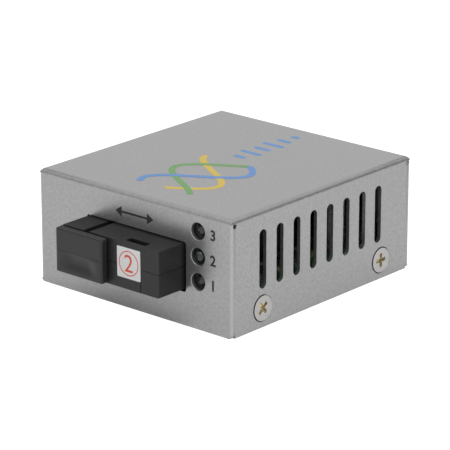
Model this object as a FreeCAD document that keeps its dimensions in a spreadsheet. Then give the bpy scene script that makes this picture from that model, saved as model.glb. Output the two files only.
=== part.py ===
"""Fibre media converter: a small folded steel case with a fibre transceiver in its front.

Lengths are in millimetres. X runs along the front from left to right, Y runs from the front
to the back, and Z is up. The origin is the middle of the underside of the base tray.
"""
import FreeCAD
import Part
import math
import operator
import os
import Sketcher
from types import SimpleNamespace

# Driving dimensions. Every other length in the model is worked out from these.
SIZES = {
    # Folded case
    "case_width": 50.7, "case_depth": 54.9, "case_height": 24.0,
    "sheet": 0.8, "bend_radius": 1.1, "cover_lift": 0.1,
    "seam_width": 0.12, "relief_radius": 0.5, "relief_drop": 1.3, "flange_corner": 0.8,
    "tray_sheet": 0.8, "tray_gap": 0.12, "flange_height": 6.6, "collar_radius": 2.1, "collar_depth": 0.4,
    "tray_bend": 1.2,
    # Side vents
    "vent_count": 8, "vent_pitch": 5.08, "vent_width": 2.05, "vent_length": 12.0, "vent_low": 8.07,
    "vent_middle": -0.61,
    # Case screws
    "screw_inset": 9.11, "screw_level": 4.05, "head_radius": 2.6,
    "head_gap": 0.22, "head_proud": 0.12, "thread_radius": 1.6, "thread_fit": 0.05, "screw_length": 6.0,
    "cross_width": 0.75, "cross_reach": 2.9, "cross_depth": 1.0,
    # Circuit board and what holds it
    "standoff_height": 5.0, "standoff_radius": 2.4, "standoff_inset": 3.3, "standoff_front_inset": 12.65,
    "standoff_back_inset": 2.95,
    "board_side_gap": 0.53, "board_front_gap": 1.6, "board_back_gap": 0.5, "board_thick": 1.6,
    "board_screw_radius": 1.25, "board_head_radius": 2.3, "board_head_height": 1.5,
    "board_screw_length": 5.5, "hole_fit": 0.15,
    # Fibre transceiver
    "module_x": 0.45, "module_width": 25.4, "module_height": 9.5, "module_length": 39.1,
    "module_reach": 7.08, "module_rounding": 0.3,
    "cutout_left": 0.2, "cutout_right": 0.6, "cutout_below": 0.45, "cutout_above": 0.28,
    "cutout_corner": 0.6,
    "port_pitch": 12.7, "port_width": 9.1, "port_height": 7.5, "port_depth": 12.6,
    "module_wall": 1.0, "partition": 1.5, "key_width": 1.52, "key_length": 12.0,
    "window_width": 5.15, "window_depth": 1.72, "window_front": 0.94, "window_offset": -0.65,
    "parting_round": 0.12, "joint_inset": 4.7, "joint_width": 0.15, "joint_depth": 0.3,
    # Optical parts in the transceiver
    "barrel_radius": 2.4, "sleeve_radius": 1.6, "ferrule_radius": 1.25,
    "barrel_nose": 8.5, "can_radius": 2.35, "can_length": 4.2, "can_leads": 2.0,
    "can_lead_count": 3, "optic_block": 6.0,
    "clip_plate": 1.0, "clip_arm": 0.8, "clip_length": 9.0, "clip_hook": 0.45,
    "pin_pitch": 2.54, "pin_count": 9, "pin_width": 0.46, "pin_drop": 1.4, "pin_inset": 2.6,
    "module_board_lift": 0.8, "module_board_depth": 13.0, "module_board_thick": 1.0,
    "driver_side": 4.0, "driver_inset": 3.0,
    # Dust plug
    "plug_width": 12.3, "plug_height": 9.1, "plug_thick": 1.55, "plug_gap": 0.3, "plug_fit": 0.1,
    "plug_offset": -0.4,
    "plug_body_width": 6.1, "plug_body_length": 6.0, "plug_bore": 2.75, "plug_taper": 0.17,
    "grip_width": 10.0, "grip_height": 3.9, "grip_bulge": 0.55, "grip_slope": 1.5,
    # Sticker
    "sticker_width": 6.05, "sticker_height": 6.2, "sticker_thick": 0.08, "sticker_tilt": 1.2,
    "sticker_offset": -1.53, "sticker_low": 2.42,
    # Status lamps
    "lamp_count": 3, "lamp_clearance": 3.64, "lamp_low": 2.46, "lamp_from_top": 3.98,
    "lamp_hole_radius": 1.75, "lamp_radius": 1.4, "lamp_length": 4.6, "lamp_dome": 1.2,
    "lamp_back": 0.8, "holder_width": 5.0, "holder_depth": 5.6, "holder_top": 2.5, "lead_width": 0.5,
    "lead_step": 1.27,
    # Network jack
    "network_inset": 6.0, "network_width": 15.9, "network_height": 13.2, "network_depth": 15.8,
    "shield": 0.3, "socket_width": 11.8, "socket_height": 7.6, "socket_depth": 12.6,
    "socket_low": 3.7, "latch_width": 6.2, "latch_height": 1.6, "key_slot_width": 3.4,
    "key_slot_height": 1.2, "contact_count": 8, "contact_pitch": 1.02, "contact_width": 0.45,
    "contact_length": 9.0,
    "contact_drop": 0.7, "contact_slope": -14, "connector_fit": 0.2, "jack_fit": 0.15,
    # Power jack
    "power_inset": 6.1, "power_width": 9.0, "power_height": 11.0, "power_depth": 13.4,
    "power_level": 6.4, "power_bore": 3.1, "power_bore_depth": 9.4, "power_pin_radius": 1.0,
    "power_hole_radius": 3.6, "leaf_thick": 0.4, "leaf_width": 3.0, "leaf_inset": 1.2,
    # Parts on the board
    "lead_reach": 1.0, "lead_thick": 0.15, "lead_share": 0.42, "package_lift": 0.1,
    "transformer_width": 5.2, "transformer_depth": 10.4, "transformer_height": 5.6,
    "transformer_pitch": 1.27, "transformer_leads": 6,
    "chip_side": 5.0, "chip_height": 1.4, "chip_pitch": 0.8, "chip_leads": 5,
    "memory_gap": 0.5, "memory_width": 3.9, "memory_depth": 4.9, "memory_leads": 4,
    "regulator_width": 3.5, "regulator_depth": 6.5, "regulator_height": 1.6, "regulator_pitch": 2.3,
    "regulator_leads": 3,
    "crystal_length": 5.0, "crystal_width": 2.5, "crystal_height": 1.0,
    "capacitor_radius": 2.5, "capacitor_height": 11.0, "capacitor_inset": 3.0, "capacitor_gap": 0.5,
    "inductor_side": 4.0, "inductor_height": 2.4, "inductor_corner": 0.8, "inductor_inset": 12.0,
    "chip_part_length": 2.0, "chip_part_width": 1.25, "chip_part_height": 0.6, "chip_part_pitch": 2.0,
    "row_parts": 4, "row_inset": 0.3,
}


class Size:
    """A length that knows its value and the sheet formula that it comes from."""

    def __init__(self, value, formula):
        self.value = value
        self.formula = formula

    def __float__(self):
        return float(self.value)

    def __int__(self):
        return int(self.value)

    def __add__(self, other):
        return combine(self, "+", other)

    def __radd__(self, other):
        return combine(other, "+", self)

    def __sub__(self, other):
        return combine(self, "-", other)

    def __rsub__(self, other):
        return combine(other, "-", self)

    def __mul__(self, other):
        return combine(self, "*", other)

    def __rmul__(self, other):
        return combine(other, "*", self)

    def __truediv__(self, other):
        return combine(self, "/", other)

    def __neg__(self):
        return combine(0, "-", self)


SIGNS = {"+": operator.add, "-": operator.sub, "*": operator.mul, "/": operator.truediv}


def as_size(length):
    """Return a length as a Size, whether it is one already or a plain number."""
    return length if isinstance(length, Size) else Size(length, repr(length))


def combine(left, sign, right):
    """Return the Size that joins two lengths with an arithmetic sign."""
    left, right = as_size(left), as_size(right)
    value = SIGNS[sign](left.value, right.value)
    return Size(value, f"({left.formula} {sign} {right.formula})")


def make_sheet(document):
    """Write the driving dimensions to the document's spreadsheet and return them as Sizes."""
    sheet = document.addObject("Spreadsheet::Sheet", "Sizes")
    for row, (alias, number) in enumerate(SIZES.items(), start=1):
        sheet.set(f"A{row}", alias)
        sheet.set(f"B{row}", str(number))
        sheet.setAlias(f"B{row}", alias)
    document.recompute()
    return SimpleNamespace(**{alias: Size(number, f"Sizes.{alias}") for alias, number in SIZES.items()})


DOC = FreeCAD.newDocument("MediaConverter")
S = make_sheet(DOC)
PIECES = []

UP = FreeCAD.Rotation()
TO_RIGHT = FreeCAD.Rotation(FreeCAD.Vector(0, 1, 0), 90)
TO_LEFT = FreeCAD.Rotation(FreeCAD.Vector(0, 1, 0), -90)
TO_BACK = FreeCAD.Rotation(FreeCAD.Vector(1, 0, 0), -90)

# Places that several pieces share
SIDE = S.case_width / 2
FRONT = -S.case_depth / 2
BACK = S.case_depth / 2
TRAY_SIDE = SIDE - S.sheet - S.tray_gap
SCREW_PLACES = [(side, (BACK - S.screw_inset) * end) for side in (1, -1) for end in (-1, 1)]

# The board and its standoffs
BOARD_LOW = S.tray_sheet + S.standoff_height
BOARD_TOP = BOARD_LOW + S.board_thick
BOARD_SIDE = TRAY_SIDE - S.tray_sheet - S.board_side_gap
BOARD_FRONT = FRONT + S.sheet + S.board_front_gap
BOARD_BACK = BACK - S.sheet - S.board_back_gap
STANDOFF_X = BOARD_SIDE - S.standoff_inset
STANDOFF_FRONT = BOARD_FRONT + S.standoff_front_inset
STANDOFF_BACK = BOARD_BACK - S.standoff_back_inset
STANDOFF_PLACES = [(STANDOFF_X * side, end) for side in (-1, 1) for end in (STANDOFF_FRONT, STANDOFF_BACK)]

# The transceiver
MODULE_LEFT = S.module_x - S.module_width / 2
MODULE_RIGHT = S.module_x + S.module_width / 2
MODULE_FRONT = FRONT - S.module_reach
MODULE_BACK = MODULE_FRONT + S.module_length
MODULE_MIDDLE = BOARD_TOP + S.module_height / 2
PORT_X = S.module_x - S.port_pitch / 2
BLIND_X = S.module_x + S.port_pitch / 2
PARTITION_FRONT = MODULE_FRONT + S.port_depth
CLIP_FRONT = PARTITION_FRONT - S.clip_plate
PIN_Y = MODULE_BACK - S.pin_inset
PIN_PLACES = [(S.module_x + S.pin_pitch * (i - (int(S.pin_count) - 1) / 2), PIN_Y)
              for i in range(int(S.pin_count))]

# The lamps: the lowest is above the board, the highest is below the top of the case
LAMP_X = MODULE_RIGHT + S.lamp_clearance
LAMP_STEP = (S.case_height - S.lamp_from_top - BOARD_TOP - S.lamp_low) / (S.lamp_count - 1)
LAMP_LEVELS = [BOARD_TOP + S.lamp_low + LAMP_STEP * i for i in range(int(S.lamp_count))]
LAMP_FACE = FRONT + S.sheet + S.lamp_back
HOLDER_BACK = LAMP_FACE + S.holder_depth
LEAD_PLACES = [(LAMP_X + S.pin_pitch / 2 * side, HOLDER_BACK + S.lead_step * (i + 1) - S.lead_width)
               for i in range(int(S.lamp_count)) for side in (-1, 1)]

# The jacks at the back
NETWORK_X = S.network_inset + S.network_width / 2 - BOARD_SIDE
NETWORK_FRONT = BACK - S.network_depth
POWER_X = BOARD_SIDE - S.power_inset - S.power_width / 2
POWER_BACK = BACK - S.sheet - S.jack_fit
POWER_FRONT = POWER_BACK - S.power_depth

# The strips of board to the left and to the right of the transceiver
LEFT_X = (MODULE_LEFT - BOARD_SIDE) / 2
RIGHT_X = (MODULE_RIGHT + BOARD_SIDE) / 2
STRIP_FRONT = STANDOFF_FRONT + S.board_head_radius
STRIP_BACK = STANDOFF_BACK - S.board_head_radius
CAPACITOR_X = BOARD_SIDE - S.capacitor_inset
LEFT_CAPACITOR_Y = STRIP_BACK - S.capacitor_gap - S.capacitor_radius
LEFT_CAPACITOR_STEP = S.capacitor_radius * 2 + S.capacitor_gap
LEFT_STRIP_BACK = LEFT_CAPACITOR_Y - LEFT_CAPACITOR_STEP - S.capacitor_radius
LEFT_GAP = (LEFT_STRIP_BACK - STRIP_FRONT - S.transformer_depth - S.crystal_width) / 3
TRANSFORMER_Y = STRIP_FRONT + LEFT_GAP + S.transformer_depth / 2
CRYSTAL_Y = LEFT_STRIP_BACK - LEFT_GAP - S.crystal_width / 2
CHIP_REACH = S.chip_side / 2 + S.lead_reach
RIGHT_GAP = (POWER_FRONT - STRIP_FRONT - S.chip_part_length * 2 - CHIP_REACH * 2
             - S.capacitor_radius * 2) / 5
FIRST_ROW_Y = STRIP_FRONT + RIGHT_GAP
CHIP_Y = FIRST_ROW_Y + S.chip_part_length + RIGHT_GAP + CHIP_REACH
SECOND_ROW_Y = CHIP_Y + CHIP_REACH + RIGHT_GAP
RIGHT_CAPACITOR_Y = POWER_FRONT - RIGHT_GAP - S.capacitor_radius
CAPACITOR_PLACES = [(-CAPACITOR_X, LEFT_CAPACITOR_Y), (-CAPACITOR_X, LEFT_CAPACITOR_Y - LEFT_CAPACITOR_STEP),
                    (CAPACITOR_X, RIGHT_CAPACITOR_Y)]
MEMORY_Y = BOARD_FRONT + S.row_inset + S.chip_part_length + S.memory_gap + S.memory_depth / 2
RESISTOR_ROWS = [(LEFT_X, BOARD_FRONT + S.row_inset), (LEFT_X, MEMORY_Y + S.memory_depth / 2 + S.memory_gap)]
CAPACITOR_ROWS = [(RIGHT_X, FIRST_ROW_Y), (RIGHT_X, SECOND_ROW_Y)]


# ---------------------------------------------------------------- helpers

def bind(item, name, length):
    """Tie one of an item's properties to a length's formula."""
    item.setExpression(name, as_size(length).formula)


def put(item, x=0, y=0, z=0, turn=UP):
    """Set where an item's own origin lies and how the item is turned."""
    item.Placement = FreeCAD.Placement(FreeCAD.Vector(), turn)
    for axis, length in zip("xyz", (x, y, z)):
        bind(item, f"Placement.Base.{axis}", length)
    return item


def piece(label, item):
    """Name an item as one of the physical pieces."""
    item.Label = label
    PIECES.append(item)
    return item


def brick(middle_x, front_y, low_z, width, depth, height):
    """Add a box that is centred in X and starts at front_y and low_z."""
    item = DOC.addObject("Part::Box", "Brick")
    for name, length in (("Length", width), ("Width", depth), ("Height", height)):
        bind(item, name, length)
    return put(item, middle_x - width / 2, front_y, low_z)


def rod(turn, x, y, z, radius, length):
    """Add a cylinder that starts at a point and runs the way that turn points it."""
    item = DOC.addObject("Part::Cylinder", "Rod")
    bind(item, "Radius", radius)
    bind(item, "Height", length)
    return put(item, x, y, z, turn)


def prism(x, y, z, circumradius, height):
    """Add an upright hexagonal bar that stands on a point."""
    item = DOC.addObject("Part::Prism", "Prism")
    item.Polygon = 6
    bind(item, "Circumradius", circumradius)
    bind(item, "Height", height)
    return put(item, x, y, z)


def cone(turn, x, y, z, first_radius, last_radius, length):
    """Add a cone that starts at a point with its first radius."""
    item = DOC.addObject("Part::Cone", "Cone")
    bind(item, "Radius1", first_radius)
    bind(item, "Radius2", last_radius)
    bind(item, "Height", length)
    return put(item, x, y, z, turn)


def join(*items):
    """Fuse items into one solid."""
    fused = DOC.addObject("Part::MultiFuse", "Join")
    fused.Shapes = list(items)
    fused.Refine = True
    return fused


def cut(base, *tools):
    """Take tools away from a base."""
    result = DOC.addObject("Part::Cut", "Cut")
    result.Base = base
    result.Tool = tools[0] if len(tools) == 1 else join(*tools)
    result.Refine = True
    return result


def group(*items):
    """Hold items together as separate solids."""
    held = DOC.addObject("Part::Compound", "Group")
    held.Links = list(items)
    return held


def new_body(label):
    """Add a design body that is one of the physical pieces."""
    return piece(label, DOC.addObject("PartDesign::Body", label))


def sketch_on(body, role, offset):
    """Add a sketch on one of the body's origin planes, moved along that plane's normal."""
    sketch = body.newObject("Sketcher::SketchObject", "Sketch")
    plane = next(item for item in body.Origin.OriginFeatures if item.Role == role)
    sketch.AttachmentSupport = (plane, [""])
    sketch.MapMode = "FlatFace"
    bind(sketch, "AttachmentOffset.Base.z", offset)
    return sketch


def dimension(sketch, kind, *target):
    """Add a sketch dimension whose last argument is the length that drives it."""
    *where, length = target
    index = sketch.addConstraint(Sketcher.Constraint(kind, *where, float(length)))
    bind(sketch, f"Constraints[{index}]", length)


def point(x, y):
    """Return a sketch point from two lengths."""
    return FreeCAD.Vector(float(x), float(y), 0)


def draw_rectangle(sketch, left, right, low, high):
    """Draw a rectangle with its sides dimensioned from the sketch's origin."""
    corners = [point(left, low), point(right, low), point(right, high), point(left, high)]
    first = sketch.GeometryCount
    for i in range(4):
        sketch.addGeometry(Part.LineSegment(corners[i], corners[(i + 1) % 4]))
    for i in range(4):
        sketch.addConstraint(Sketcher.Constraint("Coincident", first + i, 2, first + (i + 1) % 4, 1))
        kind = "Vertical" if i % 2 else "Horizontal"
        sketch.addConstraint(Sketcher.Constraint(kind, first + i))
    dimension(sketch, "DistanceX", -1, 1, first, 1, left)
    dimension(sketch, "DistanceX", -1, 1, first + 1, 1, right)
    dimension(sketch, "DistanceY", -1, 1, first, 1, low)
    dimension(sketch, "DistanceY", -1, 1, first + 2, 1, high)


def draw_polygon(sketch, corners):
    """Draw a closed outline of straight lines with every corner dimensioned."""
    first = sketch.GeometryCount
    count = len(corners)
    for i in range(count):
        sketch.addGeometry(Part.LineSegment(point(*corners[i]), point(*corners[(i + 1) % count])))
    for i, (x, y) in enumerate(corners):
        sketch.addConstraint(Sketcher.Constraint("Coincident", first + i, 1, first + (i - 1) % count, 2))
        dimension(sketch, "DistanceX", -1, 1, first + i, 1, x)
        dimension(sketch, "DistanceY", -1, 1, first + i, 1, y)


def draw_bulge(sketch, flat, inner, low, high, radius):
    """Draw a section that is straight at its inner side and an arc of a radius at its outer side."""
    middle = (low + high) / 2
    half = (float(high) - float(low)) / 2
    centre_x = float(flat) + math.sqrt(float(radius) ** 2 - half ** 2)
    swing = math.atan2(half, float(flat) - centre_x)
    circle = Part.Circle(point(centre_x, middle), FreeCAD.Vector(0, 0, 1), float(radius))
    first = sketch.GeometryCount
    sketch.addGeometry(Part.ArcOfCircle(circle, swing, 2 * math.pi - swing))
    corners = [point(flat, low), point(inner, low), point(inner, high), point(flat, high)]
    for start, end in zip(corners, corners[1:]):
        sketch.addGeometry(Part.LineSegment(start, end))
    for i in range(4):
        sketch.addConstraint(Sketcher.Constraint("Coincident", first + i, 2, first + (i + 1) % 4, 1))
    for i, (x, y) in enumerate(((flat, low), (inner, low), (inner, high), (flat, high)), start=1):
        item, end = (first + i, 1) if i < 4 else (first + 3, 2)
        dimension(sketch, "DistanceX", -1, 1, item, end, x)
        dimension(sketch, "DistanceY", -1, 1, item, end, y)
    dimension(sketch, "Radius", first, radius)


def draw_circle(sketch, x, y, radius):
    """Draw a circle dimensioned from the sketch's origin."""
    index = sketch.addGeometry(Part.Circle(point(x, y), FreeCAD.Vector(0, 0, 1), float(radius)))
    dimension(sketch, "DistanceX", -1, 1, index, 3, x)
    dimension(sketch, "DistanceY", -1, 1, index, 3, y)
    dimension(sketch, "Radius", index, radius)


def draw_slot(sketch, x, low, high, width):
    """Draw an upright slot with round ends."""
    radius = width / 2
    top, bottom = point(x, high - radius), point(x, low + radius)
    across = FreeCAD.Vector(float(radius), 0, 0)
    normal = FreeCAD.Vector(0, 0, 1)
    first = sketch.GeometryCount
    sketch.addGeometry(Part.ArcOfCircle(Part.Circle(top, normal, across.x), 0, math.pi))
    sketch.addGeometry(Part.LineSegment(top - across, bottom - across))
    sketch.addGeometry(Part.ArcOfCircle(Part.Circle(bottom, normal, across.x), math.pi, 2 * math.pi))
    sketch.addGeometry(Part.LineSegment(bottom + across, top + across))
    for i in range(4):
        sketch.addConstraint(Sketcher.Constraint("Tangent", first + i, 2, first + (i + 1) % 4, 1))
    sketch.addConstraint(Sketcher.Constraint("Vertical", first + 1))
    sketch.addConstraint(Sketcher.Constraint("Equal", first, first + 2))
    dimension(sketch, "DistanceX", -1, 1, first, 3, x)
    dimension(sketch, "DistanceY", -1, 1, first, 3, high - radius)
    dimension(sketch, "DistanceY", -1, 1, first + 2, 3, low + radius)
    dimension(sketch, "Radius", first, radius)


def draw_rounded(sketch, left, right, low, high, radius):
    """Draw a rectangle with round corners."""
    normal = FreeCAD.Vector(0, 0, 1)
    inner = [(right - radius, low + radius, -90), (right - radius, high - radius, 0),
             (left + radius, high - radius, 90), (left + radius, low + radius, 180)]
    sides = [(point(left + radius, low), point(right - radius, low)),
             (point(right, low + radius), point(right, high - radius)),
             (point(right - radius, high), point(left + radius, high)),
             (point(left, high - radius), point(left, low + radius))]
    first = sketch.GeometryCount
    for (start, end), (x, y, angle) in zip(sides, inner):
        sketch.addGeometry(Part.LineSegment(start, end))
        circle = Part.Circle(point(x, y), normal, float(radius))
        sketch.addGeometry(Part.ArcOfCircle(circle, math.radians(angle), math.radians(angle + 90)))
    for i in range(8):
        sketch.addConstraint(Sketcher.Constraint("Tangent", first + i, 2, first + (i + 1) % 8, 1))
    for i, kind in enumerate(("Horizontal", "Vertical", "Horizontal", "Vertical")):
        sketch.addConstraint(Sketcher.Constraint(kind, first + 2 * i))
    for i in (3, 5, 7):
        sketch.addConstraint(Sketcher.Constraint("Equal", first + 1, first + i))
    dimension(sketch, "Radius", first + 1, radius)
    dimension(sketch, "DistanceY", -1, 1, first, 1, low)
    dimension(sketch, "DistanceX", -1, 1, first + 2, 1, right)
    dimension(sketch, "DistanceY", -1, 1, first + 4, 1, high)
    dimension(sketch, "DistanceX", -1, 1, first + 6, 1, left)


def pad(body, sketch, length, backwards=False):
    """Pad a sketch by a length."""
    feature = body.newObject("PartDesign::Pad", "Pad")
    feature.Profile = sketch
    feature.Reversed = backwards
    bind(feature, "Length", length)
    DOC.recompute()
    return feature


def pocket(body, sketch, length=None, backwards=False):
    """Cut a sketch by a length, or right through the body, and check that it cuts."""
    before = body.Shape.Volume
    feature = body.newObject("PartDesign::Pocket", "Pocket")
    feature.Profile = sketch
    feature.Reversed = backwards
    if length is None:
        feature.Type = "ThroughAll"
    else:
        bind(feature, "Length", length)
    DOC.recompute()
    if body.Shape.Volume >= before:
        raise RuntimeError(f"a pocket of {body.Label} cuts nothing")
    return feature


def round_edges(body, radius, chosen):
    """Round the edges of a body that a test picks out."""
    base = body.Tip
    names = [f"Edge{i}" for i, edge in enumerate(base.Shape.Edges, start=1) if chosen(edge)]
    feature = body.newObject("PartDesign::Fillet", "Fillet")
    feature.Base = (base, names)
    bind(feature, "Radius", radius)
    DOC.recompute()
    return feature


def add_round(body, kind, turn, x, y, z, **sizes):
    """Add a round primitive feature to a body, such as a SubtractiveCone."""
    feature = body.newObject(f"PartDesign::{kind}", kind)
    for name, length in sizes.items():
        bind(feature, name, length)
    put(feature, x, y, z, turn)
    DOC.recompute()
    return feature


def take_rod(body, turn, x, y, z, radius, length):
    """Cut a round hole into a body."""
    return add_round(body, "SubtractiveCylinder", turn, x, y, z, Radius=radius, Height=length)


def give_rod(body, turn, x, y, z, radius, length):
    """Add a round boss to a body."""
    return add_round(body, "AdditiveCylinder", turn, x, y, z, Radius=radius, Height=length)


def take_cone(body, turn, x, y, z, first_radius, last_radius, length):
    """Cut a cone into a body."""
    return add_round(body, "SubtractiveCone", turn, x, y, z, Radius1=first_radius, Radius2=last_radius,
                     Height=length)


def is_along(edge, axis):
    """Tell whether a straight edge runs along an axis, given as a unit vector."""
    straight = isinstance(edge.Curve, Part.Line)
    return straight and abs(abs(edge.Curve.Direction.dot(axis)) - 1) < 1e-6


def is_at(edge, **levels):
    """Tell whether an edge's middle lies at each of the given coordinates."""
    middle = edge.CenterOfMass
    return all(abs(getattr(middle, axis) - float(level)) < 1e-4 for axis, level in levels.items())


# ---------------------------------------------------------------- folded case

def make_cover():
    """The cover is one sheet, folded down at all four sides, with a seam at each corner."""
    body = new_body("cover")
    blank = sketch_on(body, "XY_Plane", S.cover_lift)
    draw_rectangle(blank, -SIDE, SIDE, FRONT, BACK)
    pad(body, blank, S.case_height - S.cover_lift)
    round_edges(body, S.bend_radius, lambda edge: is_at(edge, z=S.case_height))
    room = sketch_on(body, "XY_Plane", S.cover_lift)
    draw_rectangle(room, -SIDE + S.sheet, SIDE - S.sheet, FRONT + S.sheet, BACK - S.sheet)
    pocket(body, room, S.case_height - S.sheet - S.cover_lift, backwards=True)
    ceiling = S.case_height - S.sheet
    round_edges(body, S.bend_radius - S.sheet, lambda edge: is_at(edge, z=ceiling))
    cut_front_openings(body)
    cut_back_openings(body)
    cut_vents(body)
    cut_screw_holes(body)
    cut_corner_seams(body)


def cut_front_openings(body):
    """The front has one cutout for the transceiver and a round hole for each status lamp."""
    sketch = sketch_on(body, "XZ_Plane", -FRONT)
    low = BOARD_TOP - S.cutout_below
    high = BOARD_TOP + S.module_height + S.cutout_above
    draw_rounded(sketch, MODULE_LEFT - S.cutout_left, MODULE_RIGHT + S.cutout_right, low, high,
                 S.cutout_corner)
    for level in LAMP_LEVELS:
        draw_circle(sketch, LAMP_X, level, S.lamp_hole_radius)
    pocket(body, sketch, S.sheet * 2)


def cut_back_openings(body):
    """The back has a cutout for the network jack and a round hole for the power jack."""
    sketch = sketch_on(body, "XZ_Plane", -BACK)
    half = S.network_width / 2 + S.connector_fit
    low, high = BOARD_TOP - S.connector_fit, BOARD_TOP + S.network_height + S.connector_fit
    draw_rectangle(sketch, NETWORK_X - half, NETWORK_X + half, low, high)
    draw_circle(sketch, POWER_X, BOARD_TOP + S.power_level, S.power_hole_radius)
    pocket(body, sketch, S.sheet * 2, backwards=True)


def cut_vents(body):
    """Both sides have the same row of upright slots."""
    first = S.vent_middle - S.vent_pitch * (S.vent_count - 1) / 2
    sketch = sketch_on(body, "YZ_Plane", SIDE)
    draw_slot(sketch, first, S.vent_low, S.vent_low + S.vent_length, S.vent_width)
    slot = pocket(body, sketch)
    row = body.newObject("PartDesign::LinearPattern", "Vents")
    row.Originals = [slot]
    row.Direction = (sketch, ["H_Axis"])
    bind(row, "Length", S.vent_pitch * (S.vent_count - 1))
    bind(row, "Occurrences", S.vent_count)
    body.Tip = row
    DOC.recompute()


def cut_screw_holes(body):
    """Each side has two countersunk holes."""
    rim = S.head_radius + S.head_gap
    for side, y in SCREW_PLACES:
        turn = TO_LEFT if side > 0 else TO_RIGHT
        take_cone(body, turn, SIDE * side, y, S.screw_level, rim, rim - S.sheet, S.sheet)


def cut_corner_seams(body):
    """The front and back flanges lap the side flanges' ends, and each seam rises to a relief hole."""
    sketch = sketch_on(body, "XY_Plane", 0)
    lap = BACK - S.sheet
    corners = [(side_x, side_y) for side_x in (-1, 1) for side_y in (-1, 1)]
    for side_x, side_y in corners:
        draw_rectangle(sketch, (SIDE - S.sheet * 2) * side_x, SIDE * side_x, (lap - S.seam_width) * side_y,
                       lap * side_y)
    pocket(body, sketch, S.case_height - S.bend_radius, backwards=True)
    round_edges(body, S.flange_corner, is_flange_corner)
    for side_x, side_y in corners:
        turn = TO_LEFT if side_x > 0 else TO_RIGHT
        take_rod(body, turn, SIDE * side_x, (lap - S.seam_width / 2) * side_y,
                 S.case_height - S.relief_drop, S.relief_radius, S.sheet)


def is_flange_corner(edge):
    """Tell whether an edge is a lower corner of the front or the back flange."""
    short = edge.Length < float(S.sheet) * 1.5
    outer = abs(abs(edge.CenterOfMass.x) - float(SIDE)) < 1e-4
    return short and outer and is_along(edge, FreeCAD.Vector(0, 1, 0)) and is_at(edge, z=S.cover_lift)


def make_base_tray():
    """The base tray is a sheet with a flange at each side that the case screws pull up to."""
    body = new_body("base_tray")
    sketch = sketch_on(body, "XZ_Plane", S.case_depth / 2 - S.sheet - S.tray_gap)
    inner = TRAY_SIDE - S.tray_sheet
    draw_polygon(sketch, [(-TRAY_SIDE, 0), (TRAY_SIDE, 0), (TRAY_SIDE, S.flange_height),
                          (inner, S.flange_height), (inner, S.tray_sheet), (-inner, S.tray_sheet),
                          (-inner, S.flange_height), (-TRAY_SIDE, S.flange_height)])
    pad(body, sketch, S.case_depth - (S.sheet + S.tray_gap) * 2, backwards=True)
    along = FreeCAD.Vector(0, 1, 0)
    round_edges(body, S.tray_bend, lambda edge: is_along(edge, along) and is_at(edge, z=0))
    inner_bend = S.tray_bend - S.tray_sheet
    round_edges(body, inner_bend, lambda edge: is_along(edge, along) and is_at(edge, z=S.tray_sheet))
    for side, y in SCREW_PLACES:
        turn = TO_LEFT if side > 0 else TO_RIGHT
        face = TRAY_SIDE * side
        give_rod(body, turn, face, y, S.screw_level, S.collar_radius, S.tray_sheet + S.collar_depth)
        take_rod(body, turn, face, y, S.screw_level, S.thread_radius + S.thread_fit,
                 S.tray_sheet + S.collar_depth)


def make_case_screws():
    """Four countersunk screws with cross recesses hold the cover to the tray."""
    screws = []
    for side, y in SCREW_PLACES:
        turn = TO_LEFT if side > 0 else TO_RIGHT
        screws.append(make_sunk_screw(turn, (SIDE + S.head_proud) * side, y, S.screw_level))
    piece("case_screws", group(*screws))


def make_sunk_screw(turn, x, y, z):
    """Build one countersunk screw with the middle of its head's face at a point."""
    head = cone(UP, 0, 0, 0, S.head_radius, S.thread_radius, S.head_radius - S.thread_radius)
    shank = rod(UP, 0, 0, 0, S.thread_radius, S.screw_length)
    arms = [brick(0, -S.cross_reach / 2, 0, S.cross_width, S.cross_reach, S.cross_depth),
            brick(0, -S.cross_width / 2, 0, S.cross_reach, S.cross_width, S.cross_depth)]
    return put(cut(join(head, shank), *arms), x, y, z, turn)


# ---------------------------------------------------------------- circuit board

def make_circuit_board():
    """The circuit board has holes for its four screws, the transceiver's pins and the lamps' leads."""
    blank = brick(0, BOARD_FRONT, BOARD_LOW, BOARD_SIDE * 2, BOARD_BACK - BOARD_FRONT, S.board_thick)
    holes = [rod(UP, x, y, BOARD_LOW, S.board_screw_radius + S.hole_fit, S.board_thick)
             for x, y in STANDOFF_PLACES]
    pin_hole = S.pin_width + S.hole_fit * 2
    pins = [brick(x, y - pin_hole / 2, BOARD_LOW, pin_hole, pin_hole, S.board_thick) for x, y in PIN_PLACES]
    lead_hole = S.lead_width + S.hole_fit * 2
    leads = [brick(x, y - S.hole_fit, BOARD_LOW, lead_hole, lead_hole, S.board_thick) for x, y in LEAD_PLACES]
    piece("circuit_board", cut(blank, *holes, *pins, *leads))


def make_board_fixings():
    """Four hexagonal standoffs stand on the tray, and four screws hold the board on them."""
    posts = []
    screws = []
    for x, y in STANDOFF_PLACES:
        post = prism(x, y, S.tray_sheet, S.standoff_radius, S.standoff_height)
        bore = rod(UP, x, y, S.tray_sheet, S.board_screw_radius + S.thread_fit, S.standoff_height)
        posts.append(cut(post, bore))
        shank_low = BOARD_TOP - S.board_screw_length
        shank = rod(UP, x, y, shank_low, S.board_screw_radius, S.board_screw_length)
        head = rod(UP, x, y, BOARD_TOP, S.board_head_radius, S.board_head_height)
        screws.append(join(shank, head))
    piece("board_standoffs", group(*posts))
    piece("board_screws", group(*screws))


# ---------------------------------------------------------------- fibre transceiver

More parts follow.
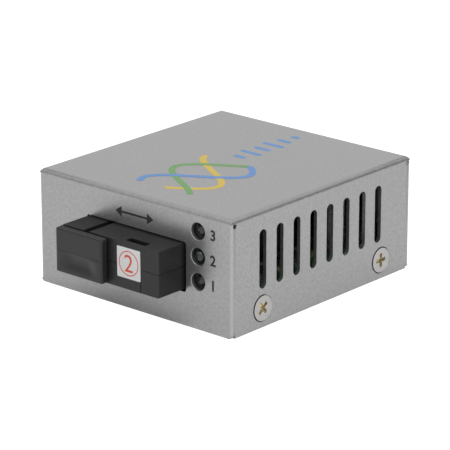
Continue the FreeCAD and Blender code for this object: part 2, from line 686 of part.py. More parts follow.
def make_module_half(label, side):
    """Build the upper (side 1) or lower (side -1) half of the transceiver's plastic housing."""
    body = new_body(label)
    outline = sketch_on(body, "XY_Plane", MODULE_MIDDLE)
    draw_rectangle(outline, MODULE_LEFT, MODULE_RIGHT, MODULE_FRONT, MODULE_BACK)
    pad(body, outline, S.module_height / 2, backwards=side < 0)
    outer = MODULE_MIDDLE + S.module_height / 2 * side
    along = FreeCAD.Vector(0, 1, 0)
    round_edges(body, S.module_rounding, lambda edge: is_along(edge, along) and is_at(edge, z=outer))
    round_edges(body, S.parting_round, lambda edge: is_at(edge, z=MODULE_MIDDLE))
    cavities = sketch_on(body, "XY_Plane", MODULE_MIDDLE)
    half_port = S.port_width / 2
    draw_rectangle(cavities, PORT_X - half_port, PORT_X + half_port,
                   MODULE_FRONT - S.module_wall, PARTITION_FRONT)
    draw_rectangle(cavities, BLIND_X - half_port, BLIND_X + half_port,
                   MODULE_FRONT + S.module_wall, PARTITION_FRONT)
    draw_rectangle(cavities, MODULE_LEFT + S.module_wall, MODULE_RIGHT - S.module_wall,
                   PARTITION_FRONT + S.partition, MODULE_BACK - S.module_wall)
    pocket(body, cavities, S.port_height / 2, backwards=side > 0)
    take_rod(body, TO_BACK, PORT_X, PARTITION_FRONT, MODULE_MIDDLE, S.barrel_radius + S.hole_fit, S.partition)
    return body


def make_module_upper():
    """The upper half has the port's open keyway and a small window over the blind port."""
    body = make_module_half("transceiver_upper", 1)
    sketch = sketch_on(body, "XY_Plane", MODULE_MIDDLE)
    half_key = S.key_width / 2
    draw_rectangle(sketch, PORT_X - half_key, PORT_X + half_key,
                   MODULE_FRONT - S.module_wall, MODULE_FRONT + S.key_length)
    window_x = BLIND_X + S.window_offset
    window_front = MODULE_FRONT + S.window_front
    draw_rectangle(sketch, window_x - S.window_width / 2, window_x + S.window_width / 2,
                   window_front, window_front + S.window_depth)
    pocket(body, sketch, S.module_height, backwards=True)


def make_module_lower():
    """The lower half has an upright joint in its blind front and a slit underneath for the pins."""
    body = make_module_half("transceiver_lower", -1)
    joint = sketch_on(body, "XZ_Plane", -MODULE_FRONT)
    right = MODULE_RIGHT - S.joint_inset
    draw_rectangle(joint, right - S.joint_width, right, BOARD_TOP, MODULE_MIDDLE)
    pocket(body, joint, S.joint_depth)
    slit = sketch_on(body, "XY_Plane", BOARD_TOP)
    half_slit = S.pin_width / 2 + S.hole_fit
    draw_rectangle(slit, PIN_PLACES[0][0] - half_slit, PIN_PLACES[-1][0] + half_slit,
                   PIN_Y - half_slit, PIN_Y + half_slit)
    pocket(body, slit, S.module_wall, backwards=True)


def make_port_clip():
    """The clip stands behind the port's opening, and its two arms grip a fibre plug."""
    plate = brick(PORT_X, CLIP_FRONT, MODULE_MIDDLE - S.port_height / 2 + S.plug_fit,
                  S.port_width - S.plug_fit * 2, S.clip_plate, S.port_height - S.plug_fit * 2)
    solids = [plate]
    arm_low = MODULE_MIDDLE - S.port_height / 4
    arm_front = CLIP_FRONT - S.clip_length
    for side in (-1, 1):
        arm_x = PORT_X + (S.port_width / 2 - S.plug_fit - S.clip_arm / 2) * side
        solids.append(brick(arm_x, arm_front, arm_low, S.clip_arm, S.clip_length, S.port_height / 2))
        hook_x = PORT_X + (S.port_width / 2 - S.plug_fit - S.clip_arm - S.clip_hook / 2) * side
        solids.append(brick(hook_x, arm_front, arm_low, S.clip_hook, S.clip_hook * 2, S.port_height / 2))
    hole = rod(TO_BACK, PORT_X, CLIP_FRONT, MODULE_MIDDLE, S.barrel_radius + S.hole_fit, S.clip_plate)
    piece("port_clip", cut(join(*solids), hole))


def make_optics():
    """A metal barrel with a ceramic sleeve carries the laser and the detector in their cans."""
    nose_front = PARTITION_FRONT - S.barrel_nose
    block_front = PARTITION_FRONT + S.partition
    nose = rod(TO_BACK, PORT_X, nose_front, MODULE_MIDDLE, S.barrel_radius, S.barrel_nose + S.partition)
    block_low = MODULE_MIDDLE - S.optic_block / 2
    block = brick(PORT_X, block_front, block_low, S.optic_block, S.optic_block, S.optic_block)
    bore = rod(TO_BACK, PORT_X, nose_front, MODULE_MIDDLE, S.sleeve_radius, S.barrel_nose)
    piece("optical_barrel", cut(join(nose, block), bore))
    sleeve = rod(TO_BACK, PORT_X, nose_front, MODULE_MIDDLE, S.sleeve_radius, S.barrel_nose)
    channel = rod(TO_BACK, PORT_X, nose_front, MODULE_MIDDLE, S.ferrule_radius, S.barrel_nose)
    piece("ceramic_sleeve", cut(sleeve, channel))
    back = block_front + S.optic_block
    piece("laser_can", make_can(TO_BACK, PORT_X, back))
    piece("detector_can", make_can(TO_RIGHT, PORT_X + S.optic_block / 2, block_front + S.optic_block / 2))


def make_can(turn, x, y):
    """Build a can with three leads."""
    lead_ring = S.can_radius / 2
    solids = [rod(UP, 0, 0, 0, S.can_radius, S.can_length)]
    for step in range(int(S.can_lead_count)):
        angle = 2 * math.pi * step / int(S.can_lead_count)
        solids.append(brick(lead_ring * math.cos(angle), lead_ring * math.sin(angle) - S.pin_width / 2,
                            S.can_length, S.pin_width, S.pin_width, S.can_leads))
    return put(join(*solids), x, y, MODULE_MIDDLE, turn)


def make_module_board():
    """A small board behind the optics carries the driver chip and the row of pins."""
    low = BOARD_TOP + S.module_wall + S.module_board_lift
    front = MODULE_BACK - S.module_wall - S.module_board_depth - S.hole_fit
    width = S.module_width - S.module_wall * 2 - S.hole_fit * 2
    piece("transceiver_board", brick(S.module_x, front, low, width, S.module_board_depth,
                                     S.module_board_thick))
    piece("driver_chip", brick(S.module_x, front + S.driver_inset, low + S.module_board_thick,
                               S.driver_side, S.driver_side, S.chip_height / 2))
    pins_low = BOARD_LOW - S.pin_drop
    pins = [brick(x, y - S.pin_width / 2, pins_low, S.pin_width, S.pin_width, low - pins_low)
            for x, y in PIN_PLACES]
    piece("transceiver_pins", group(*pins))


def make_sticker():
    """A small sticker lies on the blind port's front, a little out of true."""
    label = brick(0, 0, 0, S.sticker_width, S.sticker_thick, S.sticker_height)
    turn = FreeCAD.Rotation(FreeCAD.Vector(0, 1, 0), -SIZES["sticker_tilt"])
    x, low = BLIND_X + S.sticker_offset, BOARD_TOP + S.sticker_low
    put(label, x - S.sticker_width / 2, MODULE_FRONT - S.sticker_thick, low, turn)
    piece("port_sticker", label)


def make_dust_plug():
    """The dust plug is a plate with a rounded grip and a hollow body that fills the port."""
    body = new_body("dust_plug")
    back = MODULE_FRONT - S.plug_gap
    front = back - S.plug_thick
    plate = sketch_on(body, "XZ_Plane", -back)
    low, high = MODULE_MIDDLE - S.plug_height / 2, MODULE_MIDDLE + S.plug_height / 2
    plate_x = PORT_X + S.plug_offset
    draw_rectangle(plate, plate_x - S.plug_width / 2, plate_x + S.plug_width / 2, low, high)
    pad(body, plate, S.plug_thick)
    round_edges(body, S.plug_taper, lambda edge: is_at(edge, y=front))
    add_grip(body, plate_x, front)
    filling = sketch_on(body, "XZ_Plane", -back)
    half_body = S.plug_body_width / 2
    half_height = S.port_height / 2 - S.plug_fit
    draw_rectangle(filling, PORT_X - half_body, PORT_X + half_body,
                   MODULE_MIDDLE - half_height, MODULE_MIDDLE + half_height)
    pad(body, filling, S.plug_gap + S.plug_body_length, backwards=True)
    take_rod(body, TO_BACK, PORT_X, back, MODULE_MIDDLE, S.plug_bore, S.plug_gap + S.plug_body_length)


def add_grip(body, x, front):
    """Add the rounded grip under the middle of the plug's face; its ends slope down to the face."""
    radius = S.grip_height * S.grip_height / (S.grip_bulge * 8) + S.grip_bulge / 2
    low = MODULE_MIDDLE - S.grip_height
    section = sketch_on(body, "YZ_Plane", x - S.grip_width / 2)
    draw_bulge(section, front, front + S.plug_thick / 2, low, MODULE_MIDDLE, radius)
    pad(body, section, S.grip_width)
    slopes = sketch_on(body, "XY_Plane", low)
    for side in (-1, 1):
        end = x + S.grip_width / 2 * side
        crest = front - S.grip_bulge
        draw_polygon(slopes, [(end, front), (end, crest), (end - S.grip_slope * side, crest)])
    pocket(body, slopes, S.grip_height, backwards=True)


# ---------------------------------------------------------------- status lamps

def make_lamps():
    """The lamps lie one above another in an upright holder behind the front's round holes."""
    top = LAMP_LEVELS[-1] + S.holder_top
    block = brick(LAMP_X, LAMP_FACE, BOARD_TOP, S.holder_width, S.holder_depth, top - BOARD_TOP)
    bores = [rod(TO_BACK, LAMP_X, LAMP_FACE, level, S.lamp_radius + S.hole_fit / 2,
                 S.lamp_length + S.hole_fit) for level in LAMP_LEVELS]
    piece("lamp_holder", cut(block, *bores))
    for number, level in enumerate(LAMP_LEVELS, start=1):
        piece(f"status_lamp_{number}", make_lens(level))
    leads = []
    for i, (x, y) in enumerate(LEAD_PLACES):
        level = LAMP_LEVELS[i // 2]
        run = brick(x, HOLDER_BACK, level - S.lead_width / 2, S.lead_width, y - HOLDER_BACK + S.lead_width,
                    S.lead_width)
        drop = brick(x, y, BOARD_LOW, S.lead_width, S.lead_width, level + S.lead_width / 2 - BOARD_LOW)
        leads.append(join(run, drop))
    piece("lamp_leads", group(*leads))


def make_lens(level):
    """Build one lamp's lens: a round rod that ends in a shallow dome at the front."""
    dome_radius = (S.lamp_radius * S.lamp_radius + S.lamp_dome * S.lamp_dome) / (S.lamp_dome * 2)
    ball = DOC.addObject("Part::Sphere", "Ball")
    bind(ball, "Radius", dome_radius)
    put(ball, LAMP_X, LAMP_FACE - S.lamp_dome + dome_radius, level)
    nose = rod(TO_BACK, LAMP_X, LAMP_FACE - S.lamp_dome, level, S.lamp_radius, S.lamp_dome)
    dome = DOC.addObject("Part::Common", "Dome")
    dome.Base = ball
    dome.Tool = nose
    return join(dome, rod(TO_BACK, LAMP_X, LAMP_FACE, level, S.lamp_radius, S.lamp_length))


# ---------------------------------------------------------------- jacks at the back

def make_network_jack():
    """The network jack is a plastic body in a folded metal shield, with eight contact wires."""
    shell = brick(NETWORK_X, NETWORK_FRONT, BOARD_TOP, S.network_width, S.network_depth, S.network_height)
    room = brick(NETWORK_X, NETWORK_FRONT + S.shield, BOARD_TOP - S.shield, S.network_width - S.shield * 2,
                 S.network_depth, S.network_height)
    piece("network_jack_shield", cut(shell, room))
    inset = S.shield + S.jack_fit
    width = S.network_width - inset * 2
    height = S.network_height - inset
    block = brick(NETWORK_X, NETWORK_FRONT + inset, BOARD_TOP, width, S.network_depth - inset, height)
    socket_low = BOARD_TOP + S.socket_low
    socket = brick(NETWORK_X, BACK - S.socket_depth, socket_low, S.socket_width, S.socket_depth,
                   S.socket_height)
    latch = brick(NETWORK_X, BACK - S.socket_depth, socket_low - S.latch_height, S.latch_width,
                  S.socket_depth, S.latch_height)
    key = brick(NETWORK_X, BACK - S.socket_depth, socket_low - S.latch_height - S.key_slot_height,
                S.key_slot_width, S.socket_depth, S.key_slot_height)
    piece("network_jack_body", cut(block, socket, latch, key))
    contacts = []
    for i in range(int(S.contact_count)):
        x = NETWORK_X + S.contact_pitch * (i - (int(S.contact_count) - 1) / 2)
        wire = brick(0, 0, 0, S.contact_width, S.contact_length, S.contact_width)
        turn = FreeCAD.Rotation(FreeCAD.Vector(1, 0, 0), SIZES["contact_slope"])
        contacts.append(put(wire, x - S.contact_width / 2, BACK - S.socket_depth,
                            socket_low + S.socket_height - S.contact_drop, turn))
    piece("network_jack_contacts", group(*contacts))


def make_power_jack():
    """The power jack is a plastic block with a round bore, a pin in its middle and a spring leaf."""
    level = BOARD_TOP + S.power_level
    bottom = POWER_BACK - S.power_bore_depth
    block = brick(POWER_X, POWER_FRONT, BOARD_TOP, S.power_width, S.power_depth, S.power_height)
    bore = rod(TO_BACK, POWER_X, bottom, level, S.power_bore, S.power_bore_depth)
    slot = brick(POWER_X, bottom, level - S.power_bore - S.leaf_thick, S.leaf_width,
                 S.power_bore_depth - S.leaf_inset, S.power_bore)
    piece("power_jack_body", cut(block, bore, slot))
    piece("power_jack_pin", rod(TO_BACK, POWER_X, bottom, level, S.power_pin_radius,
                                S.power_bore_depth - S.leaf_inset))
    leaf = brick(POWER_X, bottom, level - S.power_bore - S.leaf_thick, S.leaf_width - S.hole_fit * 2,
                 S.power_bore_depth - S.leaf_inset - S.hole_fit, S.leaf_thick)
    piece("power_jack_leaf", leaf)


# ---------------------------------------------------------------- parts on the board

def lead_shape(reach, height, width, thick):
    """Return one bent lead that leaves a chip at X zero, at a height, and ends flat on the board."""
    bend = reach / 2
    outline = [(0, height), (bend, height), (bend, thick), (reach, thick), (reach, 0),
               (bend - thick, 0), (bend - thick, height - thick), (0, height - thick), (0, height)]
    wire = Part.makePolygon([FreeCAD.Vector(x, -width / 2, z) for x, z in outline])
    return Part.Face(wire).extrude(FreeCAD.Vector(0, width, 0))


def make_leads(label, x, y, sides, pitch, height):
    """Add the leads of a chip; sides lists each side's turn, distance from the middle and count."""
    thick, width = float(S.lead_thick), float(pitch * S.lead_share)
    leads = []
    for angle, distance, count in sides:
        turn = FreeCAD.Rotation(FreeCAD.Vector(0, 0, 1), angle)
        for i in range(int(count)):
            lead = lead_shape(float(S.lead_reach), float(height), width, thick)
            local = FreeCAD.Vector(float(distance), (i - (int(count) - 1) / 2) * float(pitch), 0)
            middle = FreeCAD.Vector(float(x), float(y), float(BOARD_TOP))
            lead.Placement = FreeCAD.Placement(middle + turn.multVec(local), turn)
            leads.append(lead)
    item = DOC.addObject("Part::Feature", "Leads")
    item.Shape = Part.makeCompound(leads)
    piece(label, item)


def make_package(label, x, y, width, depth, height):
    """Add a chip's plastic package, a little above the board."""
    piece(label, brick(x, y - depth / 2, BOARD_TOP + S.package_lift, width, depth, height))


def make_chips():
    """The converter chip, its memory, the line transformer and the voltage regulator."""
    make_package("converter_chip", RIGHT_X, CHIP_Y, S.chip_side, S.chip_side, S.chip_height)
    level = S.package_lift + S.chip_height / 2
    four = [(angle, S.chip_side / 2, S.chip_leads) for angle in (0, 90, 180, 270)]
    make_leads("converter_chip_leads", RIGHT_X, CHIP_Y, four, S.chip_pitch, level)
    make_package("memory_chip", LEFT_X, MEMORY_Y, S.memory_width, S.memory_depth, S.chip_height)
    two = [(angle, S.memory_width / 2, S.memory_leads) for angle in (0, 180)]
    make_leads("memory_chip_leads", LEFT_X, MEMORY_Y, two, S.transformer_pitch, level)
    make_package("line_transformer", LEFT_X, TRANSFORMER_Y, S.transformer_width, S.transformer_depth,
                 S.transformer_height)
    two = [(angle, S.transformer_width / 2, S.transformer_leads) for angle in (0, 180)]
    make_leads("line_transformer_leads", LEFT_X, TRANSFORMER_Y, two, S.transformer_pitch,
               S.package_lift + S.transformer_height / 3)
    regulator_x = BOARD_SIDE - S.power_inset / 2
    regulator_y = (POWER_FRONT + STRIP_BACK) / 2
    make_package("voltage_regulator", regulator_x, regulator_y, S.regulator_width, S.regulator_depth,
                 S.regulator_height)
    uneven = [(0, S.regulator_width / 2, S.regulator_leads), (180, S.regulator_width / 2, 1)]
    make_leads("voltage_regulator_leads", regulator_x, regulator_y, uneven, S.regulator_pitch, level)


def make_tall_parts():
    """The crystal, the inductor between the two jacks and the supply capacitors."""
    piece("crystal", brick(LEFT_X, CRYSTAL_Y - S.crystal_width / 2, BOARD_TOP, S.crystal_length,
                           S.crystal_width, S.crystal_height))
    gap_left, gap_right = NETWORK_X + S.network_width / 2, POWER_X - S.power_width / 2
    core = brick((gap_left + gap_right) / 2, BOARD_BACK - S.inductor_inset, BOARD_TOP, S.inductor_side,
                 S.inductor_side, S.inductor_height)
    corners = DOC.addObject("Part::Chamfer", "Corners")
    corners.Base = core
    DOC.recompute()
    upright = [i for i, edge in enumerate(core.Shape.Edges, start=1)
               if is_along(edge, FreeCAD.Vector(0, 0, 1))]
    corners.Edges = [(i, SIZES["inductor_corner"], SIZES["inductor_corner"]) for i in upright]
    piece("power_inductor", corners)
    cans = [rod(UP, x, y, BOARD_TOP, S.capacitor_radius, S.capacitor_height) for x, y in CAPACITOR_PLACES]
    piece("supply_capacitors", group(*cans))


def make_chip_parts():
    """Two rows each of chip resistors and chip capacitors, each row across its strip of board."""
    middle = (S.row_parts - 1) / 2
    for label, rows in (("chip_resistors", RESISTOR_ROWS), ("chip_capacitors", CAPACITOR_ROWS)):
        parts = [brick(x + S.chip_part_pitch * (i - middle), y, BOARD_TOP, S.chip_part_width,
                       S.chip_part_length, S.chip_part_height)
                 for x, y in rows for i in range(int(S.row_parts))]
        piece(label, group(*parts))


# ---------------------------------------------------------------- build, check and write

def check_document():
    """Stop if any object failed or any piece has no valid shape."""
    DOC.recompute()
    failed = [item.Label for item in DOC.Objects if {"Invalid", "Error"} & set(item.State)]
    if failed:
        raise RuntimeError(f"failed objects: {failed}")
    for item in PIECES:
        if item.Shape.isNull() or not item.Shape.isValid() or item.Shape.Volume <= 0:
            raise RuntimeError(f"{item.Label} has no valid shape")


def write_pieces():
    """Write each piece to a STEP file named after it."""
    os.makedirs("parts", exist_ok=True)
    for item in PIECES:
        item.Shape.exportStep(f"parts/{item.Label}.step")
        print(f"{item.Label}: {len(item.Shape.Solids)} solids, {item.Shape.Volume:.2f} mm3")


make_cover()
make_base_tray()
make_case_screws()
make_circuit_board()
make_board_fixings()
make_module_upper()
make_module_lower()
make_port_clip()
make_optics()
make_module_board()
make_sticker()
make_dust_plug()
make_lamps()
make_network_jack()
make_power_jack()
make_chips()
make_tall_parts()
make_chip_parts()
check_document()
write_pieces()
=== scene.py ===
"""Dresses the fibre media converter: its finishes, printed marks, studio and camera.

Lengths are written in millimetres and turned to metres where a mesh, a lamp or the camera takes
them. The frame is the solid model's own: X to the right along the front, Y from the front to the
back, Z up, and the origin under the middle of the base.
"""
from __future__ import annotations

import logging
import math
from dataclasses import dataclass
from enum import Enum, IntEnum

import bmesh
import bpy
import numpy as np
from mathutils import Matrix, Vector


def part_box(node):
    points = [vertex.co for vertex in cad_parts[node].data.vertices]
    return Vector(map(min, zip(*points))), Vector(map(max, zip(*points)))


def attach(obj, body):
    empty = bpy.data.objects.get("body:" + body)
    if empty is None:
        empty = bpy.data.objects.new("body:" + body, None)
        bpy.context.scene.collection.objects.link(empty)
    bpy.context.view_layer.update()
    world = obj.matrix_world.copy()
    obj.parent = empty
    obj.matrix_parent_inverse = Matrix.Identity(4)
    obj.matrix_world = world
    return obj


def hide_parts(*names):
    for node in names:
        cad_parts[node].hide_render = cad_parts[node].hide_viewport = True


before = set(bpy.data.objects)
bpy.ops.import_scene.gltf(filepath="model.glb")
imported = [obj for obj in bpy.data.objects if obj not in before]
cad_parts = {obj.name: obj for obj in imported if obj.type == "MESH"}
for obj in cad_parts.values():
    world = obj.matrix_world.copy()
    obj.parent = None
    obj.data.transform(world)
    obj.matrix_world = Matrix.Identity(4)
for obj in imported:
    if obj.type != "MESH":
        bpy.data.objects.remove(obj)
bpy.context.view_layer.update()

log = logging.getLogger("media_converter")

MM = 0.001
# Two places that lie nearer than this, in millimetres, count as touching.
TOUCH = 0.02
# Points of a solid that lie nearer than this, in millimetres, are one point.
MERGE = 0.0005
# Angles between faces, in degrees: below the first they are one flat face, above the second the
# shading breaks, and above the third an edge is sharp enough to be rounded.
FLAT_ANGLE = 0.4
SHADE_ANGLE = 30.0
SHARP_ANGLE = 40.0
# The range that most of a noise's values lie in.
NOISE_LOW, NOISE_HIGH = 0.25, 0.75
# Where the lamps of the studio point, in millimetres: the middle of the case.
LAMP_AIM = (0.0, 0.0, 12.0)

Points = np.ndarray
Colour = tuple[float, float, float, float]


class Body(Enum):
    """The two bodies that a piece can ride on."""

    CONVERTER = "converter"
    PLUG = "plug"


# ------------------------------------------------------------------ colours and nodes

def linear(code: str) -> Colour:
    """Turn an sRGB hex colour to linear light, by the standard's two-part curve.

    Args:
        code: Six hex digits, red then green then blue.

    Returns:
        The linear colour with an alpha of 1.
    """
    values = np.array([int(code[i:i + 2], 16) / 255 for i in (0, 2, 4)])
    light = np.where(values <= 0.04045, values / 12.92, ((values + 0.055) / 1.055) ** 2.4)
    return (float(light[0]), float(light[1]), float(light[2]), 1.0)


def add_node(tree: bpy.types.NodeTree, kind: str, settings: dict[str, object] | None = None,
             values: dict[int | str, object] | None = None,
             links: dict[int | str, bpy.types.NodeSocket] | None = None) -> bpy.types.Node:
    """Add a shader node with its settings, its input values and its input links.

    Args:
        tree: The node tree that gets the node.
        kind: The node's class name after "ShaderNode".
        settings: Properties of the node itself.
        values: Constants for its input sockets.
        links: Sockets of other nodes that feed its input sockets.

    Returns:
        The new node.
    """
    node = tree.nodes.new(f"ShaderNode{kind}")
    for name, value in (settings or {}).items():
        setattr(node, name, value)
    for key, value in (values or {}).items():
        node.inputs[key].default_value = value
    for key, socket in (links or {}).items():
        tree.links.new(socket, node.inputs[key])
    return node


@dataclass(frozen=True)
class Grain:
    """A fine surface pattern of one real size.

    Attributes:
        size: The width of one grain in millimetres.
        colour_shift: How far the colour swings, as a share of the base colour.
        height: The grain's height in millimetres, for the bump.
        detail: Octaves of the noise.
    """

    size: float
    colour_shift: float
    height: float
    detail: float = 2.0


@dataclass(frozen=True)
class Finish:
    """One real material with the way that its surface was made.

    Attributes:
        name: The material's plain name.
        colour: Base colour as sRGB hex.
        roughness: Roughness at the middle of its range.
        metallic: 1 for bare metal.
        ior: Index of refraction, for what isn't metal.
        grain: The fine pattern, if the surface has one.
        patch: A broad, soft change of tone, if the surface has one.
        roughness_swing: How far the grain moves the roughness.
        transmission: Share of the light that passes through.
    """

    name: str
    colour: str
    roughness: float
    metallic: float = 0.0
    ior: float = 1.5
    grain: Grain | None = None
    patch: Grain | None = None
    roughness_swing: float = 0.06
    transmission: float = 0.0

    def build(self) -> bpy.types.Material:
        """Return the material, made once and shared by every piece that wears it."""
        known = bpy.data.materials.get(self.name)
        if known:
            return known
        material = bpy.data.materials.new(self.name)
        material.use_nodes = True
        tree = material.node_tree
        tree.nodes.clear()
        shader = add_node(tree, "BsdfPrincipled", values={
            "Base Color": linear(self.colour), "Roughness": self.roughness, "Metallic": self.metallic,
            "Transmission Weight": self.transmission})
        if not self.metallic:
            shader.inputs["IOR"].default_value = self.ior
        add_node(tree, "OutputMaterial", links={"Surface": shader.outputs[0]})
        place = add_node(tree, "TexCoord").outputs["Object"]
        shade = None
        for pattern in (self.grain, self.patch):
            if pattern is None:
                continue
            noise = add_node(tree, "TexNoise", values={
                "Scale": 1 / (pattern.size * MM * 2), "Detail": pattern.detail, "Roughness": 0.6},
                links={"Vector": place})
            low, high = 1 - pattern.colour_shift, 1 + pattern.colour_shift
            swing = add_node(tree, "MapRange", values={
                "From Min": NOISE_LOW, "From Max": NOISE_HIGH, "To Min": low, "To Max": high},
                links={"Value": noise.outputs[0]})
            shade = swing.outputs[0] if shade is None else add_node(
                tree, "Math", {"operation": "MULTIPLY"}, links={0: shade, 1: swing.outputs[0]}).outputs[0]
            if pattern is self.grain:
                self.roughen(tree, shader, noise.outputs[0])
        if shade is not None:
            tinted = add_node(tree, "VectorMath", {"operation": "SCALE"},
                              {0: linear(self.colour)[:3]}, {"Scale": shade})
            tree.links.new(tinted.outputs[0], shader.inputs["Base Color"])
        return material

    def roughen(self, tree: bpy.types.NodeTree, shader: bpy.types.Node,
                height: bpy.types.NodeSocket) -> None:
        """Let the grain's height lift the surface and change its roughness.

        Args:
            tree: The material's node tree.
            shader: The surface shader.
            height: The grain's height from 0 to 1.
        """
        bump = add_node(tree, "Bump", values={"Strength": 1.0, "Distance": self.grain.height * MM},
                        links={"Height": height})
        tree.links.new(bump.outputs[0], shader.inputs["Normal"])
        rough = add_node(tree, "MapRange", values={
            "From Min": NOISE_LOW, "From Max": NOISE_HIGH,
            "To Min": self.roughness - self.roughness_swing,
            "To Max": self.roughness + self.roughness_swing}, links={"Value": height})
        tree.links.new(rough.outputs[0], shader.inputs["Roughness"])


# Silver powder coat over folded steel: aluminium flakes in polyester, baked on. The flakes mirror
# what is near, softly, so a black part beside the sheet darkens it, and they sparkle very finely.
POWDER_COAT = Finish("powder_coat_silver", "A3A3A3", 0.31, metallic=0.84,
                     grain=Grain(0.26, 0.13, 0.006), patch=Grain(9.0, 0.006, 0.0), roughness_swing=0.03)
# The same coat where it rounds an edge, lighter in colour: a painted highlight on the corners and the lamps'
# hole rims.
POWDER_COAT_EDGE_HIGHLIGHT = Finish("powder_coat_edge_highlight", "ACACAC", 0.31, metallic=0.84,
                          grain=Grain(0.26, 0.08, 0.004), roughness_swing=0.03)
# The same coat on the walls of punched holes: it is dull there, for the punch leaves them rough, and its darker
# colour is painted shade inside the holes.
POWDER_COAT_CUT_SHADE = Finish("powder_coat_cut_shade", "585858", 0.6, metallic=0.2,
                         grain=Grain(0.2, 0.08, 0.006))
# The same coat inside the case, duller and lighter in colour: painted light that lifts the shaded inside seen
# through the vents.
POWDER_COAT_INSIDE_LIGHT = Finish("powder_coat_inner_light", "ACACAB", 0.6, metallic=0.2,
                            grain=Grain(0.3, 0.08, 0.012))
# Glass-filled PBT moulded in a spark-eroded tool: black with a fine, even sparkle of grey.
PBT_MOULDED = Finish("pbt_moulded_black", "1C1C1C", 0.46, ior=1.44, grain=Grain(0.22, 0.22, 0.012),
                     patch=Grain(4.0, 0.04, 0.0))
# Soft polyethylene, injection moulded: a waxy charcoal that is lighter than the housing.
POLYETHYLENE_CAP = Finish("polyethylene_charcoal", "282828", 0.36, ior=1.42, grain=Grain(0.3, 0.14, 0.007),
                          patch=Grain(3.0, 0.05, 0.0))
# Nylon, moulded and left unpainted: slate blue and slightly shiny.
NYLON_CLIP = Finish("nylon_slate_blue", "4A5468", 0.38, grain=Grain(0.3, 0.04, 0.004))
# Glossy PBT of a jack's body.
PBT_GLOSS = Finish("pbt_gloss_black", "1E1E1E", 0.25, grain=Grain(0.4, 0.05, 0.002))
# Zinc plate with a grey passivation, on the heads of the case screws.
ZINC_GREY = Finish("zinc_plate_grey", "BAB9B7", 0.42, metallic=0.85, grain=Grain(0.2, 0.06, 0.008))
# Yellow chromate over zinc, bright where the driver bears in the cross.
YELLOW_CHROMATE = Finish("yellow_chromate", "D9CEAC", 0.34, metallic=1.0,
                         grain=Grain(0.15, 0.08, 0.006))
# Bright nickel plate on drawn and turned parts.
NICKEL = Finish("nickel_plate", "C2BEB4", 0.28, metallic=1.0, grain=Grain(0.2, 0.04, 0.003))
# Solder-plated copper leads.
TIN = Finish("tinned_copper", "C9C9C6", 0.35, metallic=1.0, grain=Grain(0.1, 0.05, 0.004))
# Gold flash over nickel, on spring contacts.
GOLD = Finish("gold_flash", "D9A441", 0.25, metallic=1.0, grain=Grain(0.1, 0.04, 0.003))
# Ground zirconia ceramic, white and dense.
ZIRCONIA = Finish("zirconia_ground", "E9E6DE", 0.22, ior=2.1, grain=Grain(0.1, 0.02, 0.001))
# Solder mask printed over a glass laminate.
SOLDER_MASK = Finish("solder_mask_green", "1F5A33", 0.32, grain=Grain(0.5, 0.08, 0.004),
                     patch=Grain(3.0, 0.10, 0.0))
# Transfer-moulded epoxy of a chip.
MOULD_EPOXY = Finish("chip_epoxy", "2B2B2B", 0.5, grain=Grain(0.15, 0.1, 0.006))
# Drawn aluminium can with its sleeve off.
ALUMINIUM_CAN = Finish("aluminium_can", "C8C9CC", 0.3, metallic=1.0, grain=Grain(0.3, 0.05, 0.003))
# Sintered ferrite, dark grey and slightly rough.
FERRITE = Finish("ferrite_core", "3C3B3A", 0.6, grain=Grain(0.2, 0.1, 0.01))
# Fired barium titanate of a chip capacitor.
TITANATE = Finish("fired_titanate_tan", "8E8273", 0.45, grain=Grain(0.1, 0.06, 0.003))
# Dark grey nylon of the lamps' holder, dull from its mould.
NYLON_HOLDER = Finish("nylon_holder_grey", "4C4C4C", 0.5, grain=Grain(0.3, 0.06, 0.004))
# Clear epoxy of a lamp, tinted green, cast and polished by its mould.
GREEN_EPOXY = Finish("green_epoxy_lens", "2A322B", 0.12, transmission=0.1, ior=1.54,
                     grain=Grain(0.6, 0.03, 0.0), roughness_swing=0.02)
# Coated label paper.
LABEL_PAPER = Finish("label_paper_white", "DCDCDC", 0.5, grain=Grain(0.2, 0.015, 0.002))
# Screen inks, printed on the coat and dried dull.
INK_BLACK = Finish("screen_ink_black", "1A1A1C", 0.6, grain=Grain(0.2, 0.12, 0.004))
INK_RED = Finish("screen_ink_red", "D0573A", 0.55, grain=Grain(0.2, 0.04, 0.002))
INK_BLUE = Finish("screen_ink_blue", "5E8BC4", 0.5, grain=Grain(0.25, 0.03, 0.004))
INK_YELLOW = Finish("screen_ink_yellow", "CDB244", 0.5, grain=Grain(0.25, 0.03, 0.004))
INK_GREEN = Finish("screen_ink_green", "6B9A5C", 0.5, grain=Grain(0.25, 0.03, 0.004))

NODE_FINISHES: dict[str, Finish] = {
    "circuit_board": SOLDER_MASK, "board_standoffs": NICKEL, "board_screws": NICKEL,
    "laser_can": NICKEL, "detector_can": NICKEL, "transceiver_board": SOLDER_MASK,
    "driver_chip": MOULD_EPOXY, "transceiver_pins": TIN, "lamp_leads": TIN,
    "network_jack_contacts": GOLD, "power_jack_leaf": NICKEL, "converter_chip": MOULD_EPOXY,
    "converter_chip_leads": TIN, "memory_chip": MOULD_EPOXY, "memory_chip_leads": TIN,
    "line_transformer": MOULD_EPOXY, "line_transformer_leads": TIN, "voltage_regulator": MOULD_EPOXY,
    "voltage_regulator_leads": TIN, "crystal": ALUMINIUM_CAN, "power_inductor": FERRITE,
    "supply_capacitors": ALUMINIUM_CAN, "chip_resistors": MOULD_EPOXY, "chip_capacitors": TITANATE,
}


# ------------------------------------------------------------------ meshes

def box_of(node: str) -> tuple[Points, Points]:
    """Return a solid's lowest and highest corners in millimetres."""
    low, high = (np.array(corner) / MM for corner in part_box(node))
    return low, high


